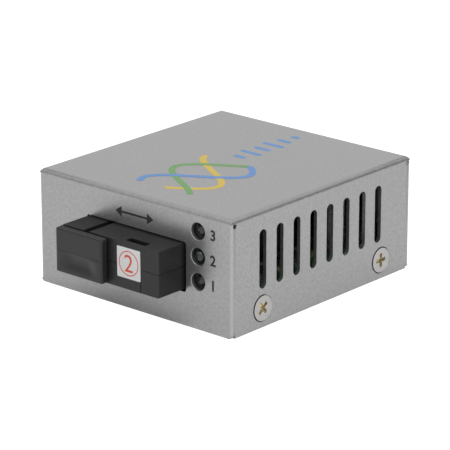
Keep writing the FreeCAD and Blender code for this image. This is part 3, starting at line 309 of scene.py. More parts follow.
def add_piece(name: str, points: Points, faces: list[list[int]], finish: Finish, body: Body) -> bpy.types.Object:
    """Make a mesh object from points and faces, dress it and let it ride on a body.

    Args:
        name: The piece's name.
        points: Its points in millimetres, one row each.
        faces: Its faces as lists of point numbers, seen from outside anticlockwise.
        finish: What it is made of.
        body: The body that it rides on.

    Returns:
        The new object.
    """
    mesh = bpy.data.meshes.new(name)
    mesh.from_pydata((points * MM).tolist(), [], faces)
    mesh.validate()
    return finish_piece(name, mesh, finish, body)


def finish_piece(name: str, mesh: bpy.types.Mesh, finish: Finish, body: Body) -> bpy.types.Object:
    """Link a mesh as an object with its finish, body and material slot.

    Args:
        name: The piece's name.
        mesh: Its mesh, in metres and in place.
        finish: What it is made of.
        body: The body that it rides on.

    Returns:
        The new object.
    """
    piece = bpy.data.objects.new(name, mesh)
    bpy.context.scene.collection.objects.link(piece)
    mesh.materials.clear()
    mesh.materials.append(finish.build())
    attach(piece, body.value)
    log.info("%s: %d faces, %s", name, len(mesh.polygons), finish.name)
    return piece


def merged_copy(node: str) -> bpy.types.Mesh:
    """Return a copy of a solid's mesh with its points merged and its flat faces joined.

    Args:
        node: The solid's name.

    Returns:
        A mesh that is shaded smooth except across its sharper edges.
    """
    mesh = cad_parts[node].data.copy()
    shape = bmesh.new()
    shape.from_mesh(mesh)
    bmesh.ops.remove_doubles(shape, verts=shape.verts, dist=MERGE * MM)
    bmesh.ops.dissolve_limit(shape, angle_limit=math.radians(FLAT_ANGLE), verts=shape.verts,
                             edges=shape.edges, delimit={"NORMAL"})
    shape.to_mesh(mesh)
    shape.free()
    mesh.shade_smooth()
    mesh.set_sharp_from_angle(angle=math.radians(SHADE_ANGLE))
    return mesh


def read_array(items: bpy.types.bpy_prop_collection, name: str, width: int = 1,
               kind: type = float) -> Points:
    """Read one property of every vertex, edge or face as an array.

    Args:
        items: The mesh's vertices, edges, loops or polygons.
        name: The property.
        width: How many numbers each item holds.
        kind: The numbers' type.

    Returns:
        One row for each item, or a plain row of numbers where each holds one.
    """
    values = np.empty(len(items) * width, dtype=np.int32 if kind is int else float)
    items.foreach_get(name, values)
    return values.reshape(-1, width) if width > 1 else values


def edge_ends(mesh: bpy.types.Mesh) -> Points:
    """Return both ends of every edge in millimetres: an array of edges by two by three."""
    ends = read_array(mesh.edges, "vertices", 2, int)
    return read_array(mesh.vertices, "co", 3)[ends] / MM


def edge_angles(mesh: bpy.types.Mesh) -> Points:
    """Return the angle between the two faces at every edge, in radians.

    Two unit normals with an angle between them add up to a vector whose squared length is two plus
    twice the angle's cosine. An edge that hasn't just two faces gets 0.
    """
    owner = read_array(mesh.loops, "edge_index", kind=int)
    normal = np.repeat(read_array(mesh.polygons, "normal", 3),
                       read_array(mesh.polygons, "loop_total", kind=int), axis=0)
    added = np.zeros((len(mesh.edges), 3))
    np.add.at(added, owner, normal)
    cosine = np.clip((added ** 2).sum(axis=1) / 2 - 1, -1, 1)
    return np.where(np.bincount(owner, minlength=len(mesh.edges)) == 2, np.arccos(cosine), 0.0)


def soften(piece: bpy.types.Object, width: float, segments: int = 2, share: Points | None = None,
           clamp: bool = True) -> bpy.types.BevelModifier:
    """Break a piece's sharp edges with a narrow rounded bevel.

    Args:
        piece: The piece.
        width: The bevel's width in millimetres.
        segments: Strips across the bevel.
        share: How much of the width each edge gets, or None for all of it at every edge.
        clamp: Whether the whole bevel shrinks where two edges are close.

    Returns:
        The bevel.
    """
    sharp = edge_angles(piece.data) > math.radians(SHARP_ANGLE)
    weight = piece.data.attributes.new("bevel_weight_edge", "FLOAT", "EDGE")
    weight.data.foreach_set("value", np.where(sharp, 1.0 if share is None else share, 0.0))
    bevel = piece.modifiers.new("soft_edges", "BEVEL")
    bevel.width = width * MM
    bevel.segments = segments
    bevel.limit_method = "WEIGHT"
    bevel.use_clamp_overlap = clamp
    bevel.loop_slide = clamp
    even_normals(piece)
    return bevel


def even_normals(piece: bpy.types.Object) -> None:
    """Weigh a piece's normals by the area of its faces, so that flat walls look flat beside bends."""
    weighted = piece.modifiers.new("even_normals", "WEIGHTED_NORMAL")
    weighted.mode = "FACE_AREA"
    weighted.weight = 100
    weighted.keep_sharp = True


def dress(node: str, finish: Finish, body: Body = Body.CONVERTER,
          edge: float = 0.0) -> bpy.types.Object:
    """Stand a cleaned copy of a solid in its place, with a finish and softened edges.

    Args:
        node: The solid's name.
        finish: What it is made of.
        body: The body that it rides on.
        edge: Width of the softened edges in millimetres, or 0 to leave them.

    Returns:
        The new piece.
    """
    piece = finish_piece(f"{node}_dressed", merged_copy(node), finish, body)
    if edge:
        soften(piece, edge)
    else:
        even_normals(piece)
    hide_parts(node)
    return piece


def ribbon(path: Points, width: float) -> tuple[Points, list[list[int]]]:
    """Work out a flat ribbon along a path.

    Each point of the path is moved half the width to both sides along the path's normal, which is
    its direction turned by a right angle in the ribbon's own plane.

    Args:
        path: Points of the middle line as rows of two coordinates.
        width: The ribbon's width.

    Returns:
        The ribbon's points, left and right in turn, and its faces.
    """
    along = np.gradient(path, axis=0)
    along /= np.linalg.norm(along, axis=1, keepdims=True)
    normal = np.stack([-along[:, 1], along[:, 0]], axis=1) * width / 2
    points = np.stack([path - normal, path + normal], axis=1).reshape(-1, 2)
    first = np.arange(len(path) - 1) * 2
    faces = np.stack([first, first + 2, first + 3, first + 1], axis=1)
    return points, faces.tolist()


def thicken(flat: Points, faces: list[list[int]], low: float,
            high: float) -> tuple[Points, list[list[int]]]:
    """Turn a flat shape into a thin closed plate between two heights.

    Args:
        flat: Points as rows of two coordinates.
        faces: Faces, anticlockwise from above.
        low: Height of the underside.
        high: Height of the upper side.

    Returns:
        The plate's points as rows of three coordinates, and its faces.
    """
    count = len(flat)
    levels = np.repeat([low, high], count)[:, None]
    points = np.hstack([np.vstack([flat, flat]), levels])
    upper = [[i + count for i in face] for face in faces]
    under = [face[::-1] for face in faces]
    directed = {(a, b) for face in faces for a, b in zip(face, face[1:] + face[:1])}
    rim = [[a, b, b + count, a + count] for a, b in directed if (b, a) not in directed]
    return points, upper + under + rim


def whole_face(outline: Points) -> list[list[int]]:
    """Return the one face that fills a closed outline."""
    return [list(range(len(outline)))]


def turned(points: Points, degrees: float) -> Points:
    """Turn rows of two coordinates about zero, anticlockwise where the first one runs right."""
    angle = math.radians(degrees)
    return points @ np.array([[math.cos(angle), math.sin(angle)], [-math.sin(angle), math.cos(angle)]])


def arc(centre: tuple[float, float], radius: float, start: float, end: float, steps: int) -> Points:
    """Return points along an arc: the centre plus the radius times cosine and sine of the angle.

    Args:
        centre: The arc's centre.
        radius: Its radius.
        start: Its first angle in degrees.
        end: Its last angle in degrees.
        steps: How many points it has.

    Returns:
        The points as rows of two coordinates.
    """
    angle = np.radians(np.linspace(start, end, steps))
    return np.array(centre) + radius * np.stack([np.cos(angle), np.sin(angle)], axis=1)


def rounded_box(left: float, right: float, low: float, high: float, radius: float) -> Points:
    """Return the outline of a rectangle with round corners, anticlockwise.

    Args:
        left: Its left side.
        right: Its right side.
        low: Its lower side.
        high: Its upper side.
        radius: Radius of its corners.

    Returns:
        The outline's points as rows of two coordinates.
    """
    corners = [((right - radius, low + radius), -90), ((right - radius, high - radius), 0),
               ((left + radius, high - radius), 90), ((left + radius, low + radius), 180)]
    return np.vstack([arc(centre, radius, start, start + 90, 7) for centre, start in corners])


class Face(Enum):
    """The two outer faces that carry print, with the way that flat print maps onto each."""

    TOP = "top"
    FRONT = "front"

    def place(self, points: Points, level: float) -> Points:
        """Lay flat print on the face.

        On the top, print's right is +X and its up is +Y. On the front, print's right is +X, its up
        is +Z and its height off the paper is -Y.

        Args:
            points: Rows of right, up and height, in millimetres.
            level: Where the face lies: its Z for the top, its Y for the front.

        Returns:
            The points in the object's frame, in millimetres.
        """
        right, up, height = points.T
        if self is Face.TOP:
            return np.stack([right, up, level + height], axis=1)
        return np.stack([right, level - height, up], axis=1)


def glyphs(text: str, height: float, weight: float = 0.0) -> tuple[Points, list[list[int]]]:
    """Return the flat outline of plain characters as a mesh.

    The characters are filled by Blender's own font and scaled so that they are as high as asked
    and centred on zero.

    Args:
        text: The characters.
        height: Their height in millimetres.
        weight: How far their outline is moved out, as a share of the font's size.

    Returns:
        Points as rows of two coordinates, and triangles.
    """
    curve = bpy.data.curves.new("glyphs", "FONT")
    curve.body = text
    curve.resolution_u = 6
    curve.offset = weight
    holder = bpy.data.objects.new("glyphs", curve)
    mesh = bpy.data.meshes.new_from_object(holder)
    flat = read_array(mesh.vertices, "co", 3)[:, :2]
    faces = [list(polygon.vertices) for polygon in mesh.polygons]
    bpy.data.objects.remove(holder)
    bpy.data.curves.remove(curve)
    bpy.data.meshes.remove(mesh)
    low, high = flat.min(axis=0), flat.max(axis=0)
    flat = (flat - (low + high) / 2) * height / (high[1] - low[1])
    corners = [flat[face] for face in faces]
    inside_out = [np.cross(points[1] - points[0], points[2] - points[0]) < 0 for points in corners]
    return flat, [face[::-1] if back else face for face, back in zip(faces, inside_out)]


# ------------------------------------------------------------------ sub-assemblies

class Coat(IntEnum):
    """The cover's material slots: the coat, and its copies with a painted highlight on edges, painted shade in
    holes and painted light inside.
    """

    OUTSIDE = 0
    EDGE = 1
    CUT = 2
    INSIDE = 3


@dataclass
class FoldedCase:
    """The folded cover, the base tray and the four countersunk screws.

    Attributes:
        sheet: The sheet's thickness.
        sheet_edge: How far the tray's edges are broken, in millimetres.
        corner_edge: How far the coat rounds the cover's upright corners.
        seam_width: Width of the seams behind the corners.
        seam_foot: How far above the base the seams' coat starts.
        seam_top: How far below the top it ends.
        seam_depths: How deep the coat lies in the seams, at their lower and upper ends.
        seam_steps: Points along a seam.
        hole_radius: Radius of the lamps' holes.
        hole_edge: How far the coat rounds their rims.
        hole_reach: How near to its axis a face lies that belongs to a hole's wall.
        turned: How far the right front screw's cross is turned from upright, in degrees.
        cross_reach: Half the width of the crosses, in millimetres.
        cross_depths: Between which depths behind the head's front a cross's faces lie.
        screw_edge: How far the screws' edges are rounded.
    """

    sheet: float = 0.8
    sheet_edge: float = 0.06
    corner_edge: float = 0.42
    seam_width: float = 0.12
    seam_foot: float = 1.0
    seam_top: float = 1.8
    seam_depths: tuple[float, float] = (0.004, 0.06)
    seam_steps: int = 9
    hole_radius: float = 1.75
    hole_edge: float = 0.09
    hole_reach: float = 1.78
    turned: float = 40.0
    cross_reach: float = 1.35
    cross_depths: tuple[float, float] = (0.05, 1.1)
    screw_edge: float = 0.05

    def build(self) -> None:
        """Dress the cover, the tray and the screws, and let the coat fill the seams."""
        cover = finish_piece("cover_dressed", merged_copy("cover"), POWDER_COAT, Body.CONVERTER)
        for finish in (POWDER_COAT_EDGE_HIGHLIGHT, POWDER_COAT_CUT_SHADE, POWDER_COAT_INSIDE_LIGHT):
            cover.data.materials.append(finish.build())
        self.mark_faces(cover.data)
        bevel = soften(cover, self.corner_edge, 3, self.edge_shares(cover.data), clamp=False)
        # Every rounded edge, the holes' rims too, takes the lighter coat: a painted highlight.
        bevel.material = Coat.EDGE.value
        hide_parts("cover")
        self.fill_seams()
        dress("base_tray", POWDER_COAT_INSIDE_LIGHT, edge=self.sheet_edge)
        self.dress_screws()

    def hole_centres(self) -> list[Points]:
        """Return the middles of the three lamps, which the round holes share."""
        return [np.mean(box_of(f"status_lamp_{number}"), axis=0) for number in (1, 2, 3)]

    def edge_shares(self, cover: bpy.types.Mesh) -> Points:
        """Return 1 for the cover's upright corner edges, less for the lamps' holes and 0 for the rest.

        A corner edge is upright and lies both in a side wall's outer plane and in the front's or
        the back's. A hole's rim lies in the front's plane and on the hole's circle.

        Args:
            cover: The cover's mesh.

        Returns:
            One share for each edge.
        """
        ends = edge_ends(cover)
        run = np.abs(ends[:, 1] - ends[:, 0])
        low, high = box_of("cover")
        middle = ends.mean(axis=1)
        off = np.minimum(np.abs(middle - low), np.abs(middle - high))
        upright = run[:, 2] > 5 * (run[:, 0] + run[:, 1])
        shares = np.where(upright & (off[:, :2] < TOUCH).all(axis=1), 1.0, 0.0)
        in_front = np.abs(ends[:, :, 1] - low[1]).max(axis=1) < TOUCH
        for centre in self.hole_centres():
            reach = np.hypot(ends[:, :, 0] - centre[0], ends[:, :, 2] - centre[2])
            on_circle = np.abs(reach - self.hole_radius).max(axis=1) < TOUCH
            shares[in_front & on_circle] = self.hole_edge / self.corner_edge
        return shares

    def mark_faces(self, cover: bpy.types.Mesh) -> None:
        """Give the cover's inside its copy of the coat with painted light, and the walls of the lamps' holes
        theirs with painted shade.

        A face of the inside lies at least the sheet's thickness behind every outer plane. A hole's
        wall faces sideways and lies within reach of the hole's axis.

        Args:
            cover: The cover's mesh.
        """
        place = read_array(cover.polygons, "center", 3) / MM
        sideways = np.abs(read_array(cover.polygons, "normal", 3)[:, 1]) < 0.1
        high = box_of("cover")[1]
        depth = np.stack([high[0] - np.abs(place[:, 0]), high[1] - np.abs(place[:, 1]),
                          high[2] - place[:, 2]]).min(axis=0)
        coat = np.full(len(place), Coat.OUTSIDE, dtype=np.int32)
        coat[depth > self.sheet - TOUCH] = Coat.INSIDE
        for centre in self.hole_centres():
            off = np.hypot(place[:, 0] - centre[0], place[:, 2] - centre[2])
            coat[(off < self.hole_reach) & sideways & (place[:, 1] < 0)] = Coat.CUT
        cover.polygons.foreach_set("material_index", coat)

    def dress_screws(self) -> None:
        """Dress the screws with chromate in their crosses, and turn the right front one.

        A cross's face lies near its screw's axis and between two depths behind the head's front.
        """
        mesh = merged_copy("case_screws")
        low, high = box_of("case_screws")
        radius = (high[2] - low[2]) / 2
        centre = np.array([high[0], high[1] - radius, low[2] + radius])
        place = read_array(mesh.polygons, "center", 3) / MM
        off = np.hypot(np.abs(place[:, 1]) - centre[1], place[:, 2] - centre[2])
        deep = centre[0] - np.abs(place[:, 0])
        cross = (off < self.cross_reach) & (deep > self.cross_depths[0]) & (deep < self.cross_depths[1])
        points = read_array(mesh.vertices, "co", 3)
        own = (points[:, 0] > 0) & (points[:, 1] < 0)
        axis = np.array([-centre[1], centre[2]]) * MM
        points[own, 1:] = turned(points[own, 1:] - axis, self.turned) + axis
        mesh.vertices.foreach_set("co", points.ravel())
        screws = finish_piece("case_screws_dressed", mesh, ZINC_GREY, Body.CONVERTER)
        mesh.materials.append(YELLOW_CHROMATE.build())
        mesh.polygons.foreach_set("material_index", cross.astype(np.int32))
        soften(screws, self.screw_edge)
        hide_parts("case_screws")

    def fill_seams(self) -> None:
        """Let the coat run into the four seams: a strip in each, deeper towards its upper end.

        Its depth doubles over the lowest third and grows from there to the upper end's.
        """
        low, high = box_of("cover")
        steps = self.seam_steps
        shallow, deep = self.seam_depths
        depth = np.interp(np.linspace(0, 1, steps), [0, 0.35, 1], [shallow, shallow * 2, deep])
        z = np.linspace(low[2] + self.seam_foot, high[2] - self.seam_top, steps)
        width = np.array([-TOUCH, self.seam_width + TOUCH])
        faces = [[i, i + steps, i + steps + 1, i + 1] for i in range(steps - 1)]
        for side, x_end, x_way in (("left", low[0], 1), ("right", high[0], -1)):
            for end, y_end, y_way in (("front", low[1], 1), ("back", high[1], -1)):
                seam = y_end + y_way * (self.sheet + width)
                strip = np.stack([np.tile(x_end + x_way * depth, 2), np.repeat(seam, steps),
                                  np.tile(z, 2)], axis=1)
                outward = faces if x_way * y_way < 0 else [face[::-1] for face in faces]
                add_piece(f"seam_coat_{side}_{end}", strip, outward, POWDER_COAT, Body.CONVERTER)


@dataclass
class Transceiver:
    """The fibre transceiver's housing and what is inside its port.

    Attributes:
        edge: How far the moulding's edges are rounded, in millimetres.
        clip_edge: The same for the clip.
        barrel_edge: The same for the optical barrel.
        sleeve_edge: The same for the ceramic sleeve.
    """

    edge: float = 0.09
    clip_edge: float = 0.08
    barrel_edge: float = 0.05
    sleeve_edge: float = 0.04

    def build(self) -> None:
        """Dress the housing's halves and the parts behind the port."""
        dress("transceiver_upper", PBT_MOULDED, edge=self.edge)
        dress("transceiver_lower", PBT_MOULDED, edge=self.edge)
        dress("port_clip", NYLON_CLIP, edge=self.clip_edge)
        dress("optical_barrel", NICKEL, edge=self.barrel_edge)
        dress("ceramic_sleeve", ZIRCONIA, edge=self.sleeve_edge)


@dataclass
class Sticker:
    """A small white label with a ring and a plain number, on the closed port's front.

    Attributes:
        middle: Its middle in X and Z.
        width: Its width.
        height: Its height.
        tilt: How far it is turned, in degrees.
        corner: Radius of its corners.
        ring_radius: Radius of the ring's middle line.
        ring_width: Width of the ring's line.
        figure: The number in the ring.
        figure_height: The number's height.
        paper: The paper's thickness.
        ink: The ink's thickness.
    """

    middle: tuple[float, float] = (5.36, 12.78)
    width: float = 6.05
    height: float = 6.2
    tilt: float = 0.3
    corner: float = 0.22
    ring_radius: float = 2.44
    ring_width: float = 0.2
    figure: str = "2"
    figure_height: float = 3.5
    paper: float = 0.08
    ink: float = 0.01

    def laid(self, points: Points) -> Points:
        """Turn flat points by the tilt about zero and move them to the sticker's middle."""
        return turned(points, self.tilt) + np.array(self.middle)

    def build(self) -> None:
        """Make the paper, the ring and the number, each a little above the one below it."""
        level = box_of("port_sticker")[1][1]
        half, rise = self.width / 2, self.height / 2
        outline = self.laid(rounded_box(-half, half, -rise, rise, self.corner))
        plate, faces = thicken(outline, whole_face(outline), 0.0, self.paper)
        sticker = add_piece("sticker_paper", Face.FRONT.place(plate, level), faces, LABEL_PAPER,
                            Body.CONVERTER)
        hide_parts("port_sticker")
        circle = arc((0.0, 0.0), self.ring_radius, 0, 360, 97)
        self.print_mark("sticker_ring", *ribbon(circle, self.ring_width), level)
        self.print_mark("sticker_number", *glyphs(self.figure, self.figure_height), level)

    def print_mark(self, name: str, flat: Points, faces: list[list[int]], level: float) -> None:
        """Print a flat mark on the paper.

        Args:
            name: The mark's name.
            flat: Its points about the sticker's middle.
            faces: Its faces.
            level: The Y of the face that the sticker lies on.
        """
        plate, faces = thicken(self.laid(flat), faces, self.paper, self.paper + self.ink)
        add_piece(name, Face.FRONT.place(plate, level), faces, INK_RED, Body.CONVERTER)


@dataclass
class DustPlug:
    """The charcoal dust plug: a plate with a finger hollow, and the stem that fills the port.

    Attributes:
        swell: How far the solid's grip stands out of its plate.
        thickness: The plate's thickness.
        lap: How far the plate covers what is left of the solid's.
        edge: Radius of the plate's edges and corners.
        stem_edge: How far the stem's edges are rounded.
        crease: Distance from the plate's top to the hollow's sharp upper end.
        depth: The hollow's depth.
        deepest: Where it is deepest, as a share of its height from the crease.
        end: Distance from the plate's sides to the hollow's ends.
        slope: Width of the hollow's sloped ends.
        slant: How much further in the hollow ends at the crease than at the bottom.
        lip: How far the hollow's upper edge stands out of the plate.
        ledge: Height of the small ledge from the plate to the lip.
        reach: How far the stem reaches into the plate, so that no gap shows behind it.
        clear: How far behind the plate an edge lies that is the stem's own.
        bend_steps: Grid lines over an edge's rounding.
        grid: Grid lines across the plate, under the crease and above it.
    """

    swell: float = 0.55
    thickness: float = 1.55
    lap: float = 0.01
    edge: float = 0.38
    stem_edge: float = 0.08
    crease: float = 4.5
    depth: float = 0.52
    deepest: float = 0.42
    end: float = 0.6
    slope: float = 3.4
    slant: float = 1.2
    lip: float = 0.07
    ledge: float = 0.06
    reach: float = 0.05
    clear: float = 0.1
    bend_steps: int = 6
    grid: tuple[int, int, int] = (50, 22, 14)

    def build(self) -> None:
        """Keep the solid's stem and stand the hollowed plate in front of it."""
        low, high = box_of("dust_plug")
        low, high = low - self.lap, high + self.lap
        front = low[1] + self.lap + self.swell
        back = front + self.thickness + self.lap
        points, faces = self.plate(low, high, front, back)
        plate = bpy.data.meshes.new("plug_plate")
        plate.from_pydata((points * MM).tolist(), [], faces)
        mesh = merged_copy("dust_plug")
        shape = bmesh.new()
        shape.from_mesh(mesh)
        everything = shape.verts[:] + shape.edges[:] + shape.faces[:]
        bmesh.ops.bisect_plane(shape, geom=everything, plane_co=(0.0, (back - self.reach) * MM, 0.0),
                               plane_no=(0.0, 1.0, 0.0), clear_inner=True)
        bmesh.ops.holes_fill(shape, edges=[edge for edge in shape.edges if edge.is_boundary])
        shape.from_mesh(plate)
        shape.to_mesh(mesh)
        shape.free()
        bpy.data.meshes.remove(plate)
        mesh.shade_smooth()
        mesh.set_sharp_from_angle(angle=math.radians(SHADE_ANGLE))
        plug = finish_piece("dust_plug_dressed", mesh, POLYETHYLENE_CAP, Body.PLUG)
        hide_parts("dust_plug")
        own = edge_ends(mesh)[:, :, 1].min(axis=1) > back + self.clear
        soften(plug, self.stem_edge, share=np.where(own, 1.0, 0.0))

    def plate(self, low: Points, high: Points, front: float,
              back: float) -> tuple[Points, list[list[int]]]:
        """Work out the plate as a grid that faces the front, with walls round it and a flat back.

        A grid point nearer to the outline than the edge's radius is moved along a ball's surface,
        which rounds edges and corners alike. The hollow's depth rises as a sine from the crease to
        its deepest line and falls as half a cosine wave to the plate's lower edge. It fades towards
        both ends by a smooth step, three squares less two cubes of the share of the slope. The lip
        falls off under the crease as the square of the share that is left of its upper half.

        Args:
            low: The plate's lowest corner.
            high: Its highest corner.
            front: Where its front lies.
            back: Where its back lies.

        Returns:
            Its points and faces.
        """
        bend = self.edge * (1 - np.cos(np.linspace(0, math.pi / 2, self.bend_steps)))
        crease = high[2] - self.crease
        line = crease + self.ledge * np.array([-1.0, 0.0, 1.0])
        wide, under, above = self.grid
        across = np.concatenate([low[0] + bend, high[0] - bend[::-1],
                                 np.linspace(low[0] + self.edge, high[0] - self.edge, wide)[1:-1]])
        upward = np.concatenate([low[2] + bend, line, high[2] - bend,
                                 np.linspace(low[2] + self.edge, line[0], under)[1:-1],
                                 np.linspace(line[-1], high[2] - self.edge, above)[1:-1]])
        x, z = np.meshgrid(np.sort(across), np.sort(upward))
        inner_x = np.clip(x, low[0] + self.edge, high[0] - self.edge)
        inner_z = np.clip(z, low[2] + self.edge, high[2] - self.edge)
        out = np.hypot(x - inner_x, z - inner_z)
        pull = np.minimum(1.0, self.edge / np.maximum(out, 1e-9))
        x, z = inner_x + (x - inner_x) * pull, inner_z + (z - inner_z) * pull
        rise = self.edge - np.sqrt(np.maximum(self.edge ** 2 - np.minimum(out, self.edge) ** 2, 0.0))
        share = (crease - z) / (crease - low[2] - self.edge)
        fall = np.clip((share - self.deepest) / (1 - self.deepest), 0, 1)
        hollow = np.where(share < self.deepest, np.sin(np.clip(share / self.deepest, 0, 1) * math.pi / 2),
                          (1 + np.cos(math.pi * fall)) / 2)
        inward = np.minimum(x - low[0], high[0] - x) - self.end
        run = np.clip((inward - self.slant * (1 - np.clip(share, 0, 1)) ** 2) / self.slope, 0, 1)
        ends = run ** 2 * (3 - 2 * run)
        below = (z < crease - self.ledge / 2) & (inward > 0)
        lip = self.lip * (1 - np.clip(share * 2, 0, 1)) ** 2 * below
        y = front + rise + self.depth * hollow * ends - lip
        grid = np.stack([x, y, z], axis=-1).reshape(-1, 3)
        rows, columns = x.shape
        number = np.arange(rows * columns).reshape(rows, columns)
        quads = np.stack([number[:-1, :-1], number[:-1, 1:], number[1:, 1:], number[1:, :-1]], axis=-1)
        ring = np.concatenate([number[0], number[1:, -1], number[-1, -2::-1], number[-2:0:-1, 0]])
        behind = grid[ring]
        behind[:, 1] = back
        shadow = len(grid) + np.arange(len(ring))
        walls = np.stack([np.roll(ring, -1), ring, shadow, np.roll(shadow, -1)], axis=-1)
        faces = quads.reshape(-1, 4).tolist() + walls.tolist() + [shadow[::-1].tolist()]
        return np.vstack([grid, behind]), faces


@dataclass
class StatusLamps:
    """Three lamps and the dark holder behind the front's round holes.

    Attributes:
        forward: How much further than the solid each lamp's dome stands out, in millimetres.
        slimmer: How much thinner than the solid its round front is.
        neck: Distance from a dome's tip to where its lamp has the solid's shape again.
        holder_edge: How far the holder's edges are rounded.
    """

    forward: tuple[float, ...] = (0.0, 0.62, 0.0)
    slimmer: float = 0.1
    neck: float = 2.0
    holder_edge: float = 0.08

    def build(self) -> None:
        """Dress the lamps and their holder."""
        for number, forward in enumerate(self.forward, start=1):
            lamp = dress(f"status_lamp_{number}", GREEN_EPOXY)
            self.reshape(lamp.data, forward)
        dress("lamp_holder", NYLON_HOLDER, edge=self.holder_edge)

    def reshape(self, mesh: bpy.types.Mesh, forward: float) -> None:
        """Thin a lamp's front and move it forward.

        Its points are drawn towards the lamp's axis by one share of their distance from it.

        Args:
            mesh: The lamp's mesh.
            forward: How far its front moves.
        """
        points = read_array(mesh.vertices, "co", 3) / MM
        low, high = points.min(axis=0), points.max(axis=0)
        axis, radius = (low + high) / 2, (high - low) / 2
        ahead = points[:, 1] < low[1] + self.neck
        for way in (0, 2):
            share = 1 - self.slimmer / radius[way]
            points[ahead, way] = axis[way] + (points[ahead, way] - axis[way]) * share
        points[ahead, 1] -= forward
        mesh.vertices.foreach_set("co", (points * MM).ravel())


@dataclass
class RearJacks:
    """The network jack and the power jack in the back.

    Attributes:
        shield_edge: How far the edges of the network jack's shield are rounded, in millimetres.
        jack_edge: The same for the network jack's body.
        power_edge: The same for the power jack's body.
        pin_edge: The same for its pin.
    """

    shield_edge: float = 0.05
    jack_edge: float = 0.08
    power_edge: float = 0.1
    pin_edge: float = 0.15

    def build(self) -> None:
        """Dress the jacks' bodies, the shield and the pin."""
        dress("network_jack_shield", NICKEL, edge=self.shield_edge)
        dress("network_jack_body", PBT_GLOSS, edge=self.jack_edge)
        dress("power_jack_body", PBT_GLOSS, edge=self.power_edge)
        dress("power_jack_pin", NICKEL, edge=self.pin_edge)


@dataclass
class FrontPrint:
    """The plain numbers beside the lamps and the two-way arrow above the port.

    Attributes:
        level: The Y of the case's front.
        number_x: Middle of the numbers.
        number_levels: Their middles, from the lowest.
        number_height: Their height.
        number_weight: How bold they are.
        arrow_middle: Middle of the arrow in X and Z.
        arrow_length: Its length over both heads.
        arrow_height: Height of its heads.
        line: Width of its shaft.
        ink: The ink's thickness.
    """

    level: float = -27.45
    number_x: float = 20.6
    number_levels: tuple[float, ...] = (9.86, 14.94, 20.02)
    number_height: float = 2.2
    number_weight: float = 0.028
    arrow_middle: tuple[float, float] = (0.3, 19.7)
    arrow_length: float = 10.0
    arrow_height: float = 2.2
    line: float = 0.42
    ink: float = 0.012

    def build(self) -> None:
        """Print the numbers and the arrow on the front."""
        marks: dict[str, tuple[Points, list[list[int]]]] = {}
        for number, height in enumerate(self.number_levels, start=1):
            flat, faces = glyphs(str(number), self.number_height, self.number_weight)
            marks[f"lamp_number_{number}"] = (flat + np.array([self.number_x, height]), faces)
        marks["port_arrow"] = (self.arrow(), whole_face(self.arrow()))
        for name, (flat, faces) in marks.items():
            plate, faces = thicken(flat, faces, 0.0, self.ink)
            add_piece(name, Face.FRONT.place(plate, self.level), faces, INK_BLACK, Body.CONVERTER)

    def arrow(self) -> Points:
        """Return the two-way arrow's outline: a shaft with a triangle at both ends, anticlockwise."""
        half, head, thin = self.arrow_length / 2, self.arrow_height / 2, self.line / 2
        neck = half - head * 1.5
        right = np.array([[neck, -thin], [neck, -head], [half, 0.0], [neck, head], [neck, thin]])
        return np.vstack([right, -right]) + np.array(self.arrow_middle)


@dataclass
class TopPrint:
    """A plain printed decoration on the top: three crossing waves and a row of bars.

    Attributes:
        level: The Z of the case's top.
        middle_x: Middle line of the waves.
        start_y: Where the waves start.
        end_y: Where they end.
        swing: How far they swing to each side.
        half_turns: How many half turns of a sine each one runs through.
        line: Width of their lines.
        bar_y: Where the first bar lies.
        bar_pitch: Distance between bars.
        bar_width: The bars' width.
        bar_corner: Radius of their ends.
        bar_lengths: The bars' lengths.
        ink: Thickness of one layer of ink.
        inks: The waves' inks, from the lowest layer.
    """

    level: float = 24.0
    middle_x: float = 2.0
    start_y: float = -20.5
    end_y: float = 0.5
    swing: float = 7.6
    half_turns: float = 1.5
    line: float = 1.35
    bar_y: float = 4.2
    bar_pitch: float = 3.5
    bar_width: float = 1.2
    bar_corner: float = 0.59
    bar_lengths: tuple[float, ...] = (3.0, 5.4, 4.2, 5.6, 3.6, 2.2)
    ink: float = 0.012
    inks: tuple[Finish, ...] = (INK_YELLOW, INK_GREEN, INK_BLUE)

    def build(self) -> None:
        """Print the waves and the bars."""
        for number, finish in enumerate(self.inks):
            flat, faces = ribbon(self.wave(number * 2 * math.pi / 3), self.line)
            self.print_mark(f"top_wave_{number + 1}", flat, faces, finish, number + 1)
        for number, length in enumerate(self.bar_lengths):
            y, half = self.bar_y + self.bar_pitch * number, self.bar_width / 2
            outline = rounded_box(-length / 2, length / 2, y - half, y + half, self.bar_corner)
            self.print_mark(f"top_bar_{number + 1}", outline, whole_face(outline), INK_BLUE, 1)

    def print_mark(self, name: str, flat: Points, faces: list[list[int]], ink: Finish,
                   layers: int) -> None:
        """Print a flat mark on the top.

        Args:
            name: The mark's name.
            flat: Its points as rows of X and Y.
            faces: Its faces.
            ink: Its ink.
            layers: How many layers of ink thick it is, so that a mark covers those below it.
        """
        plate, faces = thicken(flat, faces, 0.0, self.ink * layers)
        add_piece(name, Face.TOP.place(plate, self.level), faces, ink, Body.CONVERTER)

    def wave(self, phase: float) -> Points:
        """Return a sine wave's points: X swings about the middle line as Y runs to the back.

        Args:
            phase: The wave's angle where it starts.

        Returns:
            The points as rows of X and Y.
        """
        share = np.linspace(0, 1, 90)
        x = self.middle_x + self.swing * np.sin(share * self.half_turns * math.pi + phase)
        return np.stack([x, self.start_y + (self.end_y - self.start_y) * share], axis=1)


# ------------------------------------------------------------------ studio

